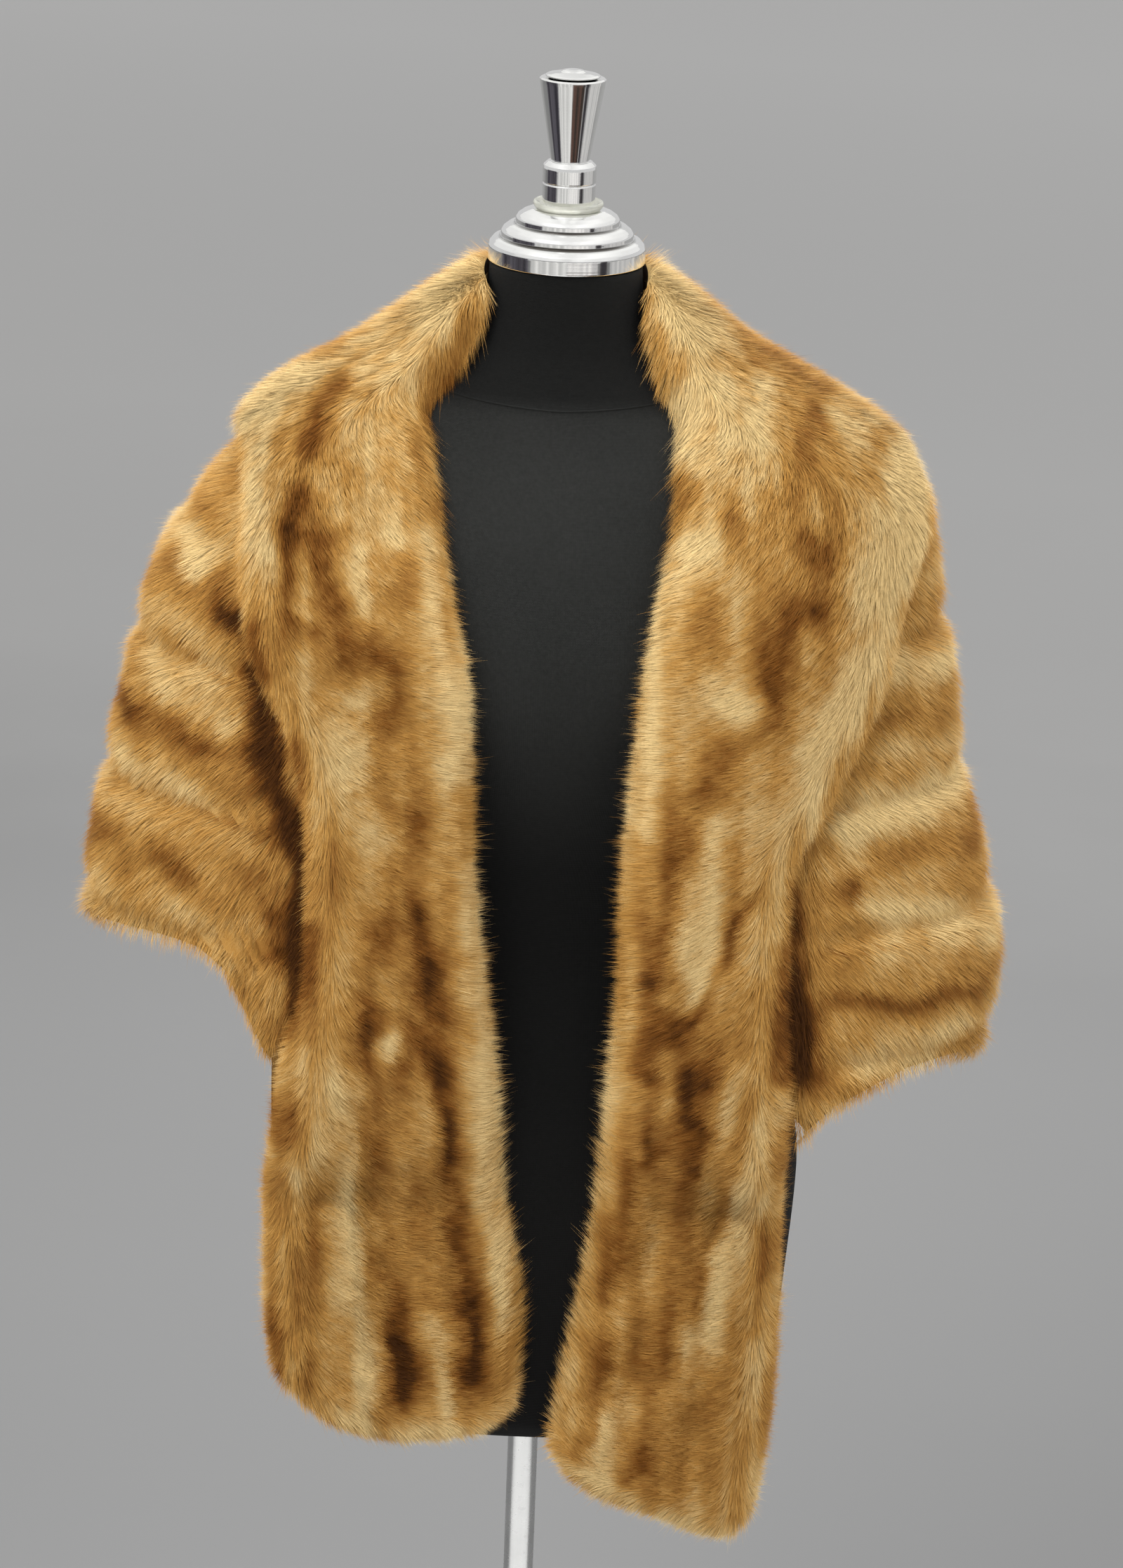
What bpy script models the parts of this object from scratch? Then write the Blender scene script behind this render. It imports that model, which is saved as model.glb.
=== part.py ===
"""Fur evening stole worn open on a limbless dress form with a turned metal neck cap and a round stand.

Metres, Z up, the front faces -Y, the origin is the middle of the base's underside.
Left and right are those of someone looking at the front: left is -X.
Heights in the tables are millimetres above the form's bottom edge.
"""
import math

import bpy
import bmesh
import numpy as np

for old in list(bpy.data.objects):
    bpy.data.objects.remove(old, do_unlink=True)

MM = 0.001
FORM_BOTTOM = 0.600      # height of the form's bottom edge above the floor
FORM_TOP = 818.5         # top of the neck, mm above the form's bottom edge
GAP = 0.3                # seam gap between neighbouring pieces, mm
PELT = 16.0              # one layer of pelt with its fur and its backing, mm
ROUND = 2.3              # exponent of the rounded oval sections

parts = bpy.data.collections.new("fur_evening_stole_on_form")
bpy.context.scene.collection.children.link(parts)


# Curves and sections.
# A table is a list of rows, each a height followed by named columns, from the lowest row up.

def smooth(x, xs, ys):
    """Value at x of a smooth curve through the points (xs, ys), level past its ends."""
    if x <= xs[0]:
        return ys[0]
    if x >= xs[-1]:
        return ys[-1]
    i = 0
    while x > xs[i + 1]:
        i += 1
    span = xs[i + 1] - xs[i]
    chord = (ys[i + 1] - ys[i]) / span

    def slope(k):
        if k == 0 or k == len(xs) - 1:
            return 0.0 if k else (ys[1] - ys[0]) / (xs[1] - xs[0])
        before = (ys[k] - ys[k - 1]) / (xs[k] - xs[k - 1])
        after = (ys[k + 1] - ys[k]) / (xs[k + 1] - xs[k])
        return 0.0 if before * after <= 0 else 2 * before * after / (before + after)

    a = slope(i)
    b = slope(i + 1) if i + 1 < len(xs) - 1 else chord
    u = (x - xs[i]) / span
    return (ys[i] * (1 + 2 * u) * (1 - u) ** 2 + a * span * u * (1 - u) ** 2
            + ys[i + 1] * u * u * (3 - 2 * u) - b * span * u * u * (1 - u))


def column(table, index, height):
    return smooth(height, [row[0] for row in table], [row[index] for row in table])


def oval(table, angle, height):
    """Radius of a section at a height; the angle runs from the front (0) towards +X."""
    left, right, front, back = (column(table, k, height) for k in (1, 2, 3, 4))
    side = right if math.sin(angle) > 0 else left
    depth = front if math.cos(angle) > 0 else back
    total = (abs(math.sin(angle)) / side) ** ROUND + (abs(math.cos(angle)) / depth) ** ROUND
    return total ** (-1 / ROUND)


def at(angle, height, radius):
    return np.array((radius * math.sin(angle), -radius * math.cos(angle), height))


# The limbless form: plain rounded oval sections, hip to neck.
# Columns: height, half width left, half width right, depth to the front, depth to the back.
FORM = [
    (0, 170, 170, 106, 90),
    (14, 177, 177, 113, 97),
    (90, 184, 184, 119, 103),
    (175, 188, 188, 122, 105),
    (240, 178, 178, 117, 102),
    (310, 148, 148, 104, 92),
    (400, 122, 122, 92, 82),
    (480, 131, 131, 104, 88),
    (540, 145, 145, 120, 97),
    (580, 153, 153, 125, 102),
    (620, 166, 166, 119, 106),
    (665, 183, 183, 105, 104),
    (695, 185, 185, 92, 97),
    (712, 168, 168, 83, 90),
    (728, 132, 132, 74, 81),
    (742, 98, 98, 66, 73),
    (755, 72, 72, 59, 65),
    (770, 58, 58, 53, 57),
    (790, 52, 52, 50, 52),
    (818.5, 50, 50, 49, 50),
]

# The space the stole encloses: on the form at shoulders, bust and hip, clear of it at the arms.
DRAPE = [
    (-75, 214, 214, 121, 110),
    (180, 216, 216, 122, 112),
    (240, 264, 286, 126, 118),
    (300, 301, 305, 127, 121),
    (345, 308, 307, 127, 121),
    (400, 302, 296, 127, 120),
    (460, 291, 277, 127, 119),
    (520, 278, 265, 128, 117),
    (580, 265, 254, 127, 115),
    (630, 243, 244, 119, 112),
    (665, 219, 236, 108, 107),
    (680, 205, 222, 102, 103),
    (695, 191, 204, 94, 99),
    (712, 168, 168, 83, 90),
    (742, 98, 98, 66, 73),
    (818.5, 50, 50, 49, 50),
]

# The outside of the turned-down shawl collar, over the cape.
COLLAR_OUT = [
    (250, 334, 336, 160, 150),
    (345, 338, 334, 161, 152),
    (460, 322, 308, 162, 152),
    (580, 296, 288, 160, 150),
    (640, 272, 276, 150, 147),
    (665, 252, 268, 139, 140),
    (680, 238, 256, 132, 136),
    (700, 224, 239, 121, 129),
    (717, 209, 220, 112, 122),
    (738, 190, 191, 101, 115),
    (753, 157, 164, 92, 108),
    (773, 127, 128, 82, 99),
    (790, 107, 106, 74, 90),
    (803, 92, 90, 66, 80),
    (814, 74, 74, 58, 68),
    (820, 60, 60, 54, 58),
]

# Horizontal clearance of the stole round the form; more on the flatter shoulders.
CLEAR_AT = [660, 700]
CLEAR = [0.7, 2.5]


def drape_radius(angle, height):
    inside = oval(FORM, angle, min(max(height, 0), FORM_TOP)) + smooth(height, CLEAR_AT, CLEAR)
    return max(oval(DRAPE, angle, height), inside)


def drape(angle, height, out=0.0):
    """Point on the draped surface, moved out along its own normal."""
    return at(angle, height, drape_radius(angle, height)) + out * drape_normal(angle, height)


def drape_normal(angle, height):
    step = 0.01
    lift = 3.0
    across = (at(angle + step, height, drape_radius(angle + step, height))
              - at(angle - step, height, drape_radius(angle - step, height)))
    along = (at(angle, height + lift, drape_radius(angle, height + lift))
             - at(angle, height - lift, drape_radius(angle, height - lift)))
    normal = np.cross(across, along)
    return normal / np.linalg.norm(normal)


def angle_at(x, height, table):
    """Angle at which a section passes the given x, on the front."""
    low, high = 0.0, math.radians(88)
    sign = 1 if x > 0 else -1
    for _ in range(30):
        mid = (low + high) / 2
        if oval(table, sign * mid, height) * math.sin(mid) < abs(x):
            low = mid
        else:
            high = mid
    return sign * low


# Edges of the stole, in x at each height; the left one is written with its own minus sign.
# Columns: height, inner edge left, inner edge right, outer edge of panel left, outer edge right.
EDGES = [
    (-84, -40, 60, -120, 158),
    (-50, -30, 30, -130, 166),
    (-10, -10, 12, -150, 171),
    (20, -3, 15, -166, 174),
    (50, -1, 20, -176, 175),
    (100, -2, 27, -180, 174),
    (150, -6, 32, -180, 172),
    (200, -12, 38, -181, 171),
    (229, -15, 41, -181, 169),
    (250, -18, 43, -180, 167),
    (270, -21, 45, -175, 163),
    (285, -23, 46, -166, 160),
    (300, -25, 47, -156, 155),
    (360, -34, 50, -157, 155),
    (430, -44, 49, -161, 163),
    (500, -48, 52, -163, 168),
    (560, -50, 57, -178, 190),
    (620, -61, 65, -196, 212),
    (680, -72, 72, -207, 228),
    (730, -77, 67, -212, 230),
    (765, -62, 57, -212, 230),
    (800, -48, 52, -212, 230),
]

SEAM = 300.0             # height where the cape's fronts end and the panels hang on


def solid(name, inner, outer, material):
    """Closed piece from two grids of points of the same shape, joined round their rims."""
    rows, cols = len(inner), len(inner[0])
    mesh = bmesh.new()
    skins = []
    for grid in (inner, outer):
        skin = [[mesh.verts.new((p[0] * MM, p[1] * MM, FORM_BOTTOM + p[2] * MM)) for p in line]
                for line in grid]
        skins.append(skin)
    low, high = skins
    for i in range(rows - 1):
        for j in range(cols - 1):
            mesh.faces.new((low[i][j], low[i + 1][j], low[i + 1][j + 1], low[i][j + 1]))
            mesh.faces.new((high[i][j], high[i][j + 1], high[i + 1][j + 1], high[i + 1][j]))
    rim = [(i, 0) for i in range(rows - 1)]
    rim += [(rows - 1, j) for j in range(cols - 1)]
    rim += [(i, cols - 1) for i in range(rows - 1, 0, -1)]
    rim += [(0, j) for j in range(cols - 1, 0, -1)]
    for k, (i, j) in enumerate(rim):
        m, n = rim[(k + 1) % len(rim)]
        mesh.faces.new((low[i][j], high[i][j], high[m][n], low[m][n]))
    return keep(name, mesh, material)


def keep(name, mesh, material):
    bmesh.ops.recalc_face_normals(mesh, faces=mesh.faces)
    data = bpy.data.meshes.new(name)
    mesh.to_mesh(data)
    mesh.free()
    thing = bpy.data.objects.new(name, data)
    parts.objects.link(thing)
    data.materials.append(material)
    data.shade_smooth()
    data.set_sharp_from_angle(angle=math.radians(35))
    return thing


def paint(name, colour, rough, metal=0.0):
    material = bpy.data.materials.new(name)
    material.use_nodes = True
    shader = material.node_tree.nodes["Principled BSDF"]
    shader.inputs["Base Color"].default_value = (*colour, 1.0)
    shader.inputs["Roughness"].default_value = rough
    shader.inputs["Metallic"].default_value = metal
    material.diffuse_color = (*colour, 1.0)
    return material


fur = paint("fur_pelt", (0.48, 0.29, 0.12), 0.75)
jersey = paint("black_jersey", (0.012, 0.012, 0.013), 0.85)
chrome = paint("chrome", (0.80, 0.80, 0.80), 0.12, 1.0)
clear = paint("clear_plastic", (0.78, 0.78, 0.70), 0.25)


def rounding(distance, radius, least):
    """Share of the full thickness at a distance in from an edge."""
    u = min(max(distance / radius, 0.0), 1.0)
    return least + (1 - least) * math.sqrt(1 - (1 - u) ** 2)


# Form: a closed loft of its sections with flat ends.

def torso():
    around = 40
    heights = [row[0] for row in FORM]
    extra = [45, 132, 208, 275, 355, 440, 510, 704, 720, 735, 748]
    mesh = bmesh.new()
    rings = []
    for height in sorted(heights + extra):
        ring = []
        for k in range(around):
            angle = 2 * math.pi * k / around
            p = at(angle, height, oval(FORM, angle, height)) * MM
            ring.append(mesh.verts.new((p[0], p[1], p[2] + FORM_BOTTOM)))
        rings.append(ring)
    for below, above in zip(rings, rings[1:]):
        for k in range(around):
            n = (k + 1) % around
            mesh.faces.new((below[k], below[n], above[n], above[k]))
    mesh.faces.new(list(reversed(rings[0])))
    mesh.faces.new(rings[-1])
    return keep("form_torso", mesh, jersey)


# Cape: one pelt body round the back, open in front, its fronts hidden under the collar.
# Columns: angle from the front in degrees, hem height left, hem height right.
HEM = [
    (0, 300, 300),
    (55, 300, 300),
    (57, 293, 285),
    (59.2, 280, 230),
    (61, 304, 244),
    (63, 332, 256),
    (67.5, 354, 268),
    (72.5, 357, 280),
    (77, 355, 281),
    (84, 348, 272),
    (90, 338, 258),
    (135, 316, 276),
    (180, 298, 298),
]

CAPE_TOP = 751.0         # top edge of the cape round the neck
SET_BACK = 26.0          # how far its front edge stands back under the collar


def hem_height(angle):
    degrees = abs(math.degrees(angle))
    side = 2 if angle > 0 else 1
    return smooth(degrees, [row[0] for row in HEM], [row[side] for row in HEM])


def cape_angle(s, height):
    """Angle at share s along the cape: -1 at the left front edge, 0 behind, 1 at the right one."""
    side = 2 if s > 0 else 1
    edge = column(EDGES, side, height)
    edge += SET_BACK if edge > 0 else -SET_BACK
    edge = abs(angle_at(edge, height, DRAPE))
    turn = math.pi + (edge - math.pi) * abs(s)
    return turn if s > 0 else -turn


ALONG = [-1, -0.985, -0.94, -0.89, -0.84, -0.79, -0.772, -0.757, -0.744, -0.731, -0.69, -0.65,
         -0.59, -0.53, -0.46, -0.39, -0.31, -0.23, -0.15, -0.07]
ALONG = ALONG + [0] + [-s for s in reversed(ALONG)]
DOWN = [0, 0.012, 0.03, 0.048, 0.066, 0.084, 0.104, 0.13, 0.17, 0.22, 0.28, 0.34, 0.41, 0.48,
        0.55, 0.62, 0.69, 0.76, 0.83, 0.9, 0.96, 0.985, 1]
ROW = 76.0               # height of one row of pelts
PUFF = 4.0               # how far a row swells out


def cape():
    inner, outer = [], []
    for s in ALONG:
        inner_line, outer_line = [], []
        for v in DOWN:
            height = CAPE_TOP
            for _ in range(12):
                hem = hem_height(cape_angle(s, height))
                height = CAPE_TOP + (hem - CAPE_TOP) * v
            angle = cape_angle(s, height)
            run = CAPE_TOP - height
            wave = PUFF * abs(math.sin(math.pi * run / ROW)) * min(1, run / 160)
            in_from_hem = (1 - v) * (CAPE_TOP - hem)
            in_from_front = (1 - abs(s)) * 400
            thick = (PELT - PUFF + wave) * rounding(in_from_hem, 12, 0.35)
            if run < 110:
                thick = PELT * rounding(run, 14, 0.35)
            if abs(s) > 0.73:
                thick = min(thick, PELT) * rounding(in_from_front, 12, 0.5)
            inner_line.append(drape(angle, height))
            outer_line.append(drape(angle, height, thick))
        inner.append(inner_line)
        outer.append(outer_line)
    return solid("cape", inner, outer, fur)


# Collar: turned down all round, from one front over the back of the neck to the other.

def collar_rails(s):
    """Inner and outer point of the collar, each an angle and a height, at share s along it."""
    side = 1 if s < 0 else 2
    sign = -1 if s < 0 else 1
    k = abs(s)
    shares = [row[0] for row in COLLAR_ROWS]
    inner_height = smooth(k, shares, [row[1] for row in COLLAR_ROWS])
    outer_height = smooth(k, shares, [row[2 * side + 1] for row in COLLAR_ROWS])
    outer_angle = smooth(k, shares, [row[2 * side + 2] for row in COLLAR_ROWS])
    round_neck = smooth(k, shares, [row[2] for row in COLLAR_ROWS])
    edge = column(EDGES, side, inner_height)
    front = abs(angle_at(edge, inner_height, DRAPE))
    if k < NECK_SHARE:
        front_at = abs(angle_at(column(EDGES, side, NECK_HEIGHT), NECK_HEIGHT, DRAPE))
        front = front_at + (math.pi - front_at) * round_neck
    return sign * front, inner_height, sign * math.radians(outer_angle), outer_height


NECK_SHARE = 0.42
NECK_HEIGHT = 800.0
# Columns: share from the middle of the back to the end, height of the fold or inner edge,
# share of the way round the neck, outer height left, outer angle left, right the same.
COLLAR_ROWS = [
    (0.0, 815, 1.0, 640, 180, 636, 180),
    (0.1, 815, 0.74, 645, 150, 640, 150),
    (0.2, 815, 0.48, 660, 122, 654, 122),
    (0.3, 813, 0.23, 680, 102, 674, 104),
    (0.42, 800, 0.0, 686, 86, 684, 90),
    (0.5, 748, 0.0, 666, 74, 654, 79),
    (0.58, 690, 0.0, 622, 68, 612, 72),
    (0.66, 630, 0.0, 570, 63, 556, 67),
    (0.74, 560, 0.0, 508, 56, 492, 60),
    (0.82, 480, 0.0, 440, 54, 430, 54.5),
    (0.91, 390, 0.0, 372, 54, 368, 54.5),
    (1.0, 300.2, 0.0, 300.2, 55, 300.2, 54),
]


def collar():
    half = [1, 0.985, 0.955, 0.91, 0.865, 0.82, 0.78, 0.74, 0.7, 0.66, 0.62, 0.58, 0.54, 0.5, 0.46,
            0.42, 0.38, 0.34, 0.3, 0.25, 0.2, 0.15, 0.1, 0.05]
    shares = [-k for k in half] + [0] + list(reversed(half))
    across = [0, 0.05, 0.11, 0.18, 0.26, 0.34, 0.42, 0.5, 0.58, 0.66, 0.75, 0.86, 0.95, 1]
    inner, outer = [], []
    for s in shares:
        inner_line, outer_line = [], []
        a0, h0, a1, h1 = collar_rails(s)
        wide = np.linalg.norm(drape(a1, h1) - drape(a0, h0))
        for t in across:
            angle = a0 + (a1 - a0) * t
            height = h0 + (h1 - h0) * t
            lift = min(smooth(t * wide, EDGE_AT, EDGE_LIFT), smooth(height, NECK_AT, NECK_LIFT))
            low = drape(angle, height, lift)
            reach = min(t * wide, (1 - t) * wide, (1 - abs(s)) * 560)
            inner_line.append(low)
            outer_line.append(collar_face(low, angle, height, s, t, rounding(reach, 18, 0.22)))
        inner.append(inner_line)
        outer.append(outer_line)
    return solid("collar", inner, outer, fur)


# How high the collar's inner face lies over the drape: on the form at its fold, then on the cape.
OVER_CAPE = PELT + 4.8
EDGE_AT = [0, 8, 20, 30]
EDGE_LIFT = [0.2, 3.0, OVER_CAPE, OVER_CAPE]
NECK_AT = [600, 752, 768, 790, 820]
NECK_LIFT = [OVER_CAPE, OVER_CAPE, 12.0, 1.5, 0.2]


def collar_face(low, angle, height, s, t, share):
    """Outer point above an inner one: out to the collar's outside, cut down near the edges."""
    steep = math.radians(72 - 50 * t)
    fan = np.array((math.sin(angle) * math.cos(steep), -math.cos(angle) * math.cos(steep),
                    math.sin(steep)))
    falls = smooth(abs(s), [0.4, 0.62], [0, 1])
    way = fan * (1 - falls) + drape_normal(angle, height) * falls
    way /= np.linalg.norm(way)
    near, far = 2.0, 130.0
    for _ in range(24):
        mid = (near + far) / 2
        x, y, z = low + way * mid
        turn = math.atan2(x, -y)
        if math.hypot(x, y) < oval(COLLAR_OUT, turn, z) and z < 822:
            near = mid
        else:
            far = mid
    return low + way * near * share


# Front panels: hang from the cape's fronts to the hip, the right one longer.

def panel(name, side):
    sign = -1 if side == 1 else 1
    across = [0, 0.06, 0.18, 0.36, 0.54, 0.72, 0.88, 0.96, 1]
    down = [0, 0.04, 0.09, 0.18, 0.29, 0.4, 0.51, 0.62, 0.73, 0.83, 0.91, 0.965, 1]
    inner, outer = [], []
    for t in across:
        inner_line, outer_line = [], []
        for v in down:
            top = SEAM - GAP
            foot = panel_foot(side, t)
            height = top + (foot - top) * v
            edge = column(EDGES, side, height)
            far = column(EDGES, side + 2, height)
            x = edge + (far - edge) * t
            angle = angle_at(x, height, DRAPE)
            reach = min(t * 150, (1 - t) * 150, (1 - v) * 300)
            full = PELT + 6
            swell = 3.0 * abs(math.sin(math.pi * 3 * t)) * smooth(top - height, [0, 20, 60], [0, 0, 1])
            thick = (full + swell) * rounding(reach, 14, 0.3)
            inner_line.append(drape(angle, height))
            outer_line.append(drape(angle, height, thick))
        inner.append(inner_line)
        outer.append(outer_line)
    return solid(name, inner, outer, fur)


# Columns: share across from the inner edge, height of the lower edge left, right.
FEET = [
    (0, 34, 10),
    (0.12, 12, -16),
    (0.3, 3, -38),
    (0.5, -2, -58),
    (0.7, -3, -74),
    (0.85, 6, -80),
    (0.95, 24, -72),
    (1, 48, -48),
]


def panel_foot(side, t):
    return smooth(t, [row[0] for row in FEET], [row[side] for row in FEET])


# Turned metal parts: profiles of radius and height, each turned about the stand's axis.

def turned(name, profile, segments, material):
    """profile: (radius, height) pairs in mm above the floor line given, from the top down."""
    mesh = bmesh.new()
    rings = []
    for radius, height in profile:
        if radius == 0:
            rings.append([mesh.verts.new((0, 0, height * MM))])
            continue
        rings.append([mesh.verts.new((radius * MM * math.cos(2 * math.pi * k / segments),
                                      radius * MM * math.sin(2 * math.pi * k / segments),
                                      height * MM)) for k in range(segments)])
    for top, low in zip(rings, rings[1:]):
        for k in range(segments):
            n = (k + 1) % segments
            if len(top) == 1:
                mesh.faces.new((top[0], low[k], low[n]))
            elif len(low) == 1:
                mesh.faces.new((top[k], low[0], top[n]))
            else:
                mesh.faces.new((top[k], low[k], low[n], top[n]))
    return keep(name, mesh, material)


CAP = FORM_BOTTOM / MM + FORM_TOP + GAP
neck_cap = [(0, 33.5), (21.6, 33.5), (23.4, 34.6), (24.8, 33.2), (33.2, 28.3), (33.4, 26.0),
            (35.0, 25.2), (42.8, 19.4), (43.2, 16.8), (44.6, 16.2), (51.0, 10.4), (51.6, 9.2),
            (51.6, 0.8), (50.8, 0), (0, 0)]
washer = [(0, 37.4), (20.0, 37.4), (21.6, 38.6), (22.4, 38.2), (22.0, 36.4), (20.6, 33.8), (0, 33.8)]
finial = [(0, 119.6), (20.6, 119.6), (21.6, 118.8), (21.4, 116.8), (12.6, 66.0), (14.6, 65.6),
          (17.2, 63.2), (17.6, 61.2), (17.6, 52.4), (16.8, 51.6), (17.4, 50.8), (17.4, 40.6),
          (16.8, 37.7), (0, 37.7)]
disc = [(0, 127.4), (6.4, 127.0), (7.6, 125.6), (12.0, 124.8), (17.4, 122.8), (17.9, 121.6),
        (17.4, 120.6), (14.0, 119.9), (0, 119.9)]

torso()
cape()
collar()
panel("front_panel_left", 1)
panel("front_panel_right", 2)
turned("neck_cap", [(r, h + CAP) for r, h in neck_cap], 40, chrome)
turned("cap_washer", [(r, h + CAP) for r, h in washer], 28, clear)
turned("finial", [(r, h + CAP) for r, h in finial], 32, chrome)
turned("finial_top", [(r, h + CAP) for r, h in disc], 32, chrome)

# Stand: a plain pole up to the form's flat bottom and a low round base.
POLE = 11.0
pole_top = FORM_BOTTOM / MM - GAP
turned("stand_pole", [(0, pole_top), (POLE, pole_top), (POLE, 22.3), (0, 22.3)], 28, chrome)
turned("stand_base", [(0, 22), (26, 22), (30, 20), (60, 15), (140, 9), (149, 7), (150, 5),
                      (150, 0), (0, 0)], 56, chrome)
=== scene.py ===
"""Fur evening stole on a limbless dress form with a turned neck cap and a round stand.

Metres in the meshes; the tables are in millimetres, with heights above the form's bottom edge,
600 mm over the floor. The front faces -Y, and left and right are the viewer's.
"""
import math

import bmesh
import bpy
import numpy as np
from mathutils import Matrix, Vector


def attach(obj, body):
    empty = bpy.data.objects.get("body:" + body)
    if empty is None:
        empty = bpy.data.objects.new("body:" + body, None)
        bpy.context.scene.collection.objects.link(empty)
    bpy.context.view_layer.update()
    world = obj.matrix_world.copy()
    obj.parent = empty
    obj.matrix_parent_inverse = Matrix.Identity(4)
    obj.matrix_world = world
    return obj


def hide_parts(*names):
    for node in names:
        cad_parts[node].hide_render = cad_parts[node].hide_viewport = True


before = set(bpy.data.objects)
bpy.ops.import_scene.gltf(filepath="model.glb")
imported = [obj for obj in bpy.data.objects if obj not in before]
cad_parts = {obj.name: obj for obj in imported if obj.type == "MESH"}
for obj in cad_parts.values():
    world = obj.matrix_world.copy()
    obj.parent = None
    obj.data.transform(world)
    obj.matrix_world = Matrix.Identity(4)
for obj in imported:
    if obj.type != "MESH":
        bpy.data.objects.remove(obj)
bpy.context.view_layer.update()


# Camera: a long lens a little above the neck cap, looking down on the stole and turned very
# slightly, as the picture was taken.

pitch, roll = math.radians(20.42), math.radians(2.2)
ahead = Vector((0, math.cos(pitch), -math.sin(pitch)))
level, rise = Vector((1, 0, 0)), Vector((0, math.sin(pitch), math.cos(pitch)))
across = math.cos(roll) * level + math.sin(roll) * rise
upward = math.cos(roll) * rise - math.sin(roll) * level
lens = bpy.data.cameras.new("camera")
lens.sensor_fit = "VERTICAL"
lens.sensor_height = 36
lens.lens = 85.24
lens.clip_end = 60
camera = bpy.data.objects.new("camera", lens)
camera.matrix_world = Matrix.Translation((0.010, -2.400, 1.9462)) @ Matrix(
    (across, upward, -ahead)).transposed().to_4x4()
bpy.context.collection.objects.link(camera)
bpy.context.scene.camera = camera
bpy.context.scene.view_settings.view_transform = "Standard"


# Floor: a pale studio floor of painted board that runs on behind the stand as the backdrop.

class Wire:
    """A node's output, which can be added and multiplied as a number is."""

    def __init__(self, tree, socket):
        self.tree = tree
        self.socket = socket

    def sum(self, operation, *values):
        return node(self.tree, "ShaderNodeMath", {"operation": operation}, dict(enumerate(values)))

    def __add__(self, other):
        return self.sum("ADD", self, other)

    def __sub__(self, other):
        return self.sum("SUBTRACT", self, other)

    def __mul__(self, other):
        return self.sum("MULTIPLY", self, other)

    def __truediv__(self, other):
        return self.sum("DIVIDE", self, other)

    def __pow__(self, other):
        return self.sum("POWER", self, other)

    def __radd__(self, other):
        return self.sum("ADD", other, self)

    def __rsub__(self, other):
        return self.sum("SUBTRACT", other, self)

    def __rmul__(self, other):
        return self.sum("MULTIPLY", other, self)

    def __rtruediv__(self, other):
        return self.sum("DIVIDE", other, self)


def node(tree, kind, settings=None, sockets=None, out=0):
    """One node: its settings first, then the values or links of its sockets."""
    made = tree.nodes.new(kind)
    for key, value in (settings or {}).items():
        if key == "stops":
            ramp = made.color_ramp
            while len(ramp.elements) < len(value):
                ramp.elements.new(0.5)
            for stop, (place, colour) in zip(ramp.elements, value):
                stop.position = place
                stop.color = (*colour, 1)
        else:
            setattr(made, key, value)
    for key, value in (sockets or {}).items():
        if isinstance(value, Wire):
            tree.links.new(value.socket, made.inputs[key])
        elif value is not None:
            made.inputs[key].default_value = value
    return Wire(tree, made.outputs[out])


def finish(name, **constants):
    """A new material; the constants go on the shader's own sockets."""
    material = bpy.data.materials.new(name)
    material.use_nodes = True
    shader = material.node_tree.nodes["Principled BSDF"]
    for key, value in constants.items():
        shader.inputs[key.replace("_", " ")].default_value = value
    return material, material.node_tree, shader


def feed(tree, shader, **wires):
    for key, value in wires.items():
        tree.links.new(value.socket, shader.inputs[key.replace("_", " ")])


def place(tree):
    return node(tree, "ShaderNodeTexCoord", out="Object")


def noise(tree, vector, scale, detail=3.0, rough=0.5, out=0):
    return node(tree, "ShaderNodeTexNoise", {}, {"Vector": vector, "Scale": scale, "Detail": detail,
                                                 "Roughness": rough}, out)


def tones(tree, value, *stops):
    return node(tree, "ShaderNodeValToRGB", {"stops": stops}, {0: value})


def relief(tree, height, depth, strength=1.0):
    return node(tree, "ShaderNodeBump", {}, {"Height": height, "Distance": depth, "Strength": strength})


def thing(name, vertices, faces, *materials, smooth=True):
    """A piece from points in metres."""
    mesh = bpy.data.meshes.new(name)
    mesh.from_pydata([tuple(p) for p in vertices], [], faces)
    for material in materials:
        mesh.materials.append(material)
    if smooth:
        mesh.shade_smooth()
    mesh.update()
    made = bpy.data.objects.new(name, mesh)
    bpy.context.collection.objects.link(made)
    return made


board, tree, shader = finish("pale_board", Roughness=0.9)
spot = place(tree)
apart = node(tree, "ShaderNodeSeparateXYZ", {}, {0: spot})
side, back = (Wire(tree, apart.socket.node.outputs[k]) for k in (0, 1))
grain = noise(tree, spot, 3.0, 4)
# Painted shade and light: the board's colour runs darker towards the front and paler further back.
feed(tree, shader, Base_Color=tones(
    tree, back / 12 + side * 0.02 + (grain - 0.5) * 0.02, (0.06, (0.235, 0.235, 0.235)),
    (0.19, (0.285, 0.284, 0.283)), (0.27, (0.42, 0.417, 0.413)), (0.40, (0.50, 0.497, 0.492)),
    (0.80, (0.60, 0.597, 0.592))))
floor = thing("floor", [(-14, -6, 0), (14, -6, 0), (14, 20, 0), (-14, 20, 0)], [(0, 1, 2, 3)], board)


# Lights: large soft boxes from the upper left and right and from above, with a grey room round them.

def soft_box(name, position, target, size, power, colour=(1, 1, 1)):
    light = bpy.data.lights.new(name, "AREA")
    light.shape = "RECTANGLE"
    light.size, light.size_y = size
    light.energy = power
    light.color = colour
    lamp = bpy.data.objects.new(name, light)
    lamp.location = position
    lamp.rotation_euler = (Vector(target) - Vector(position)).to_track_quat("-Z", "Y").to_euler()
    lamp.visible_glossy = False
    bpy.context.collection.objects.link(lamp)


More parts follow.
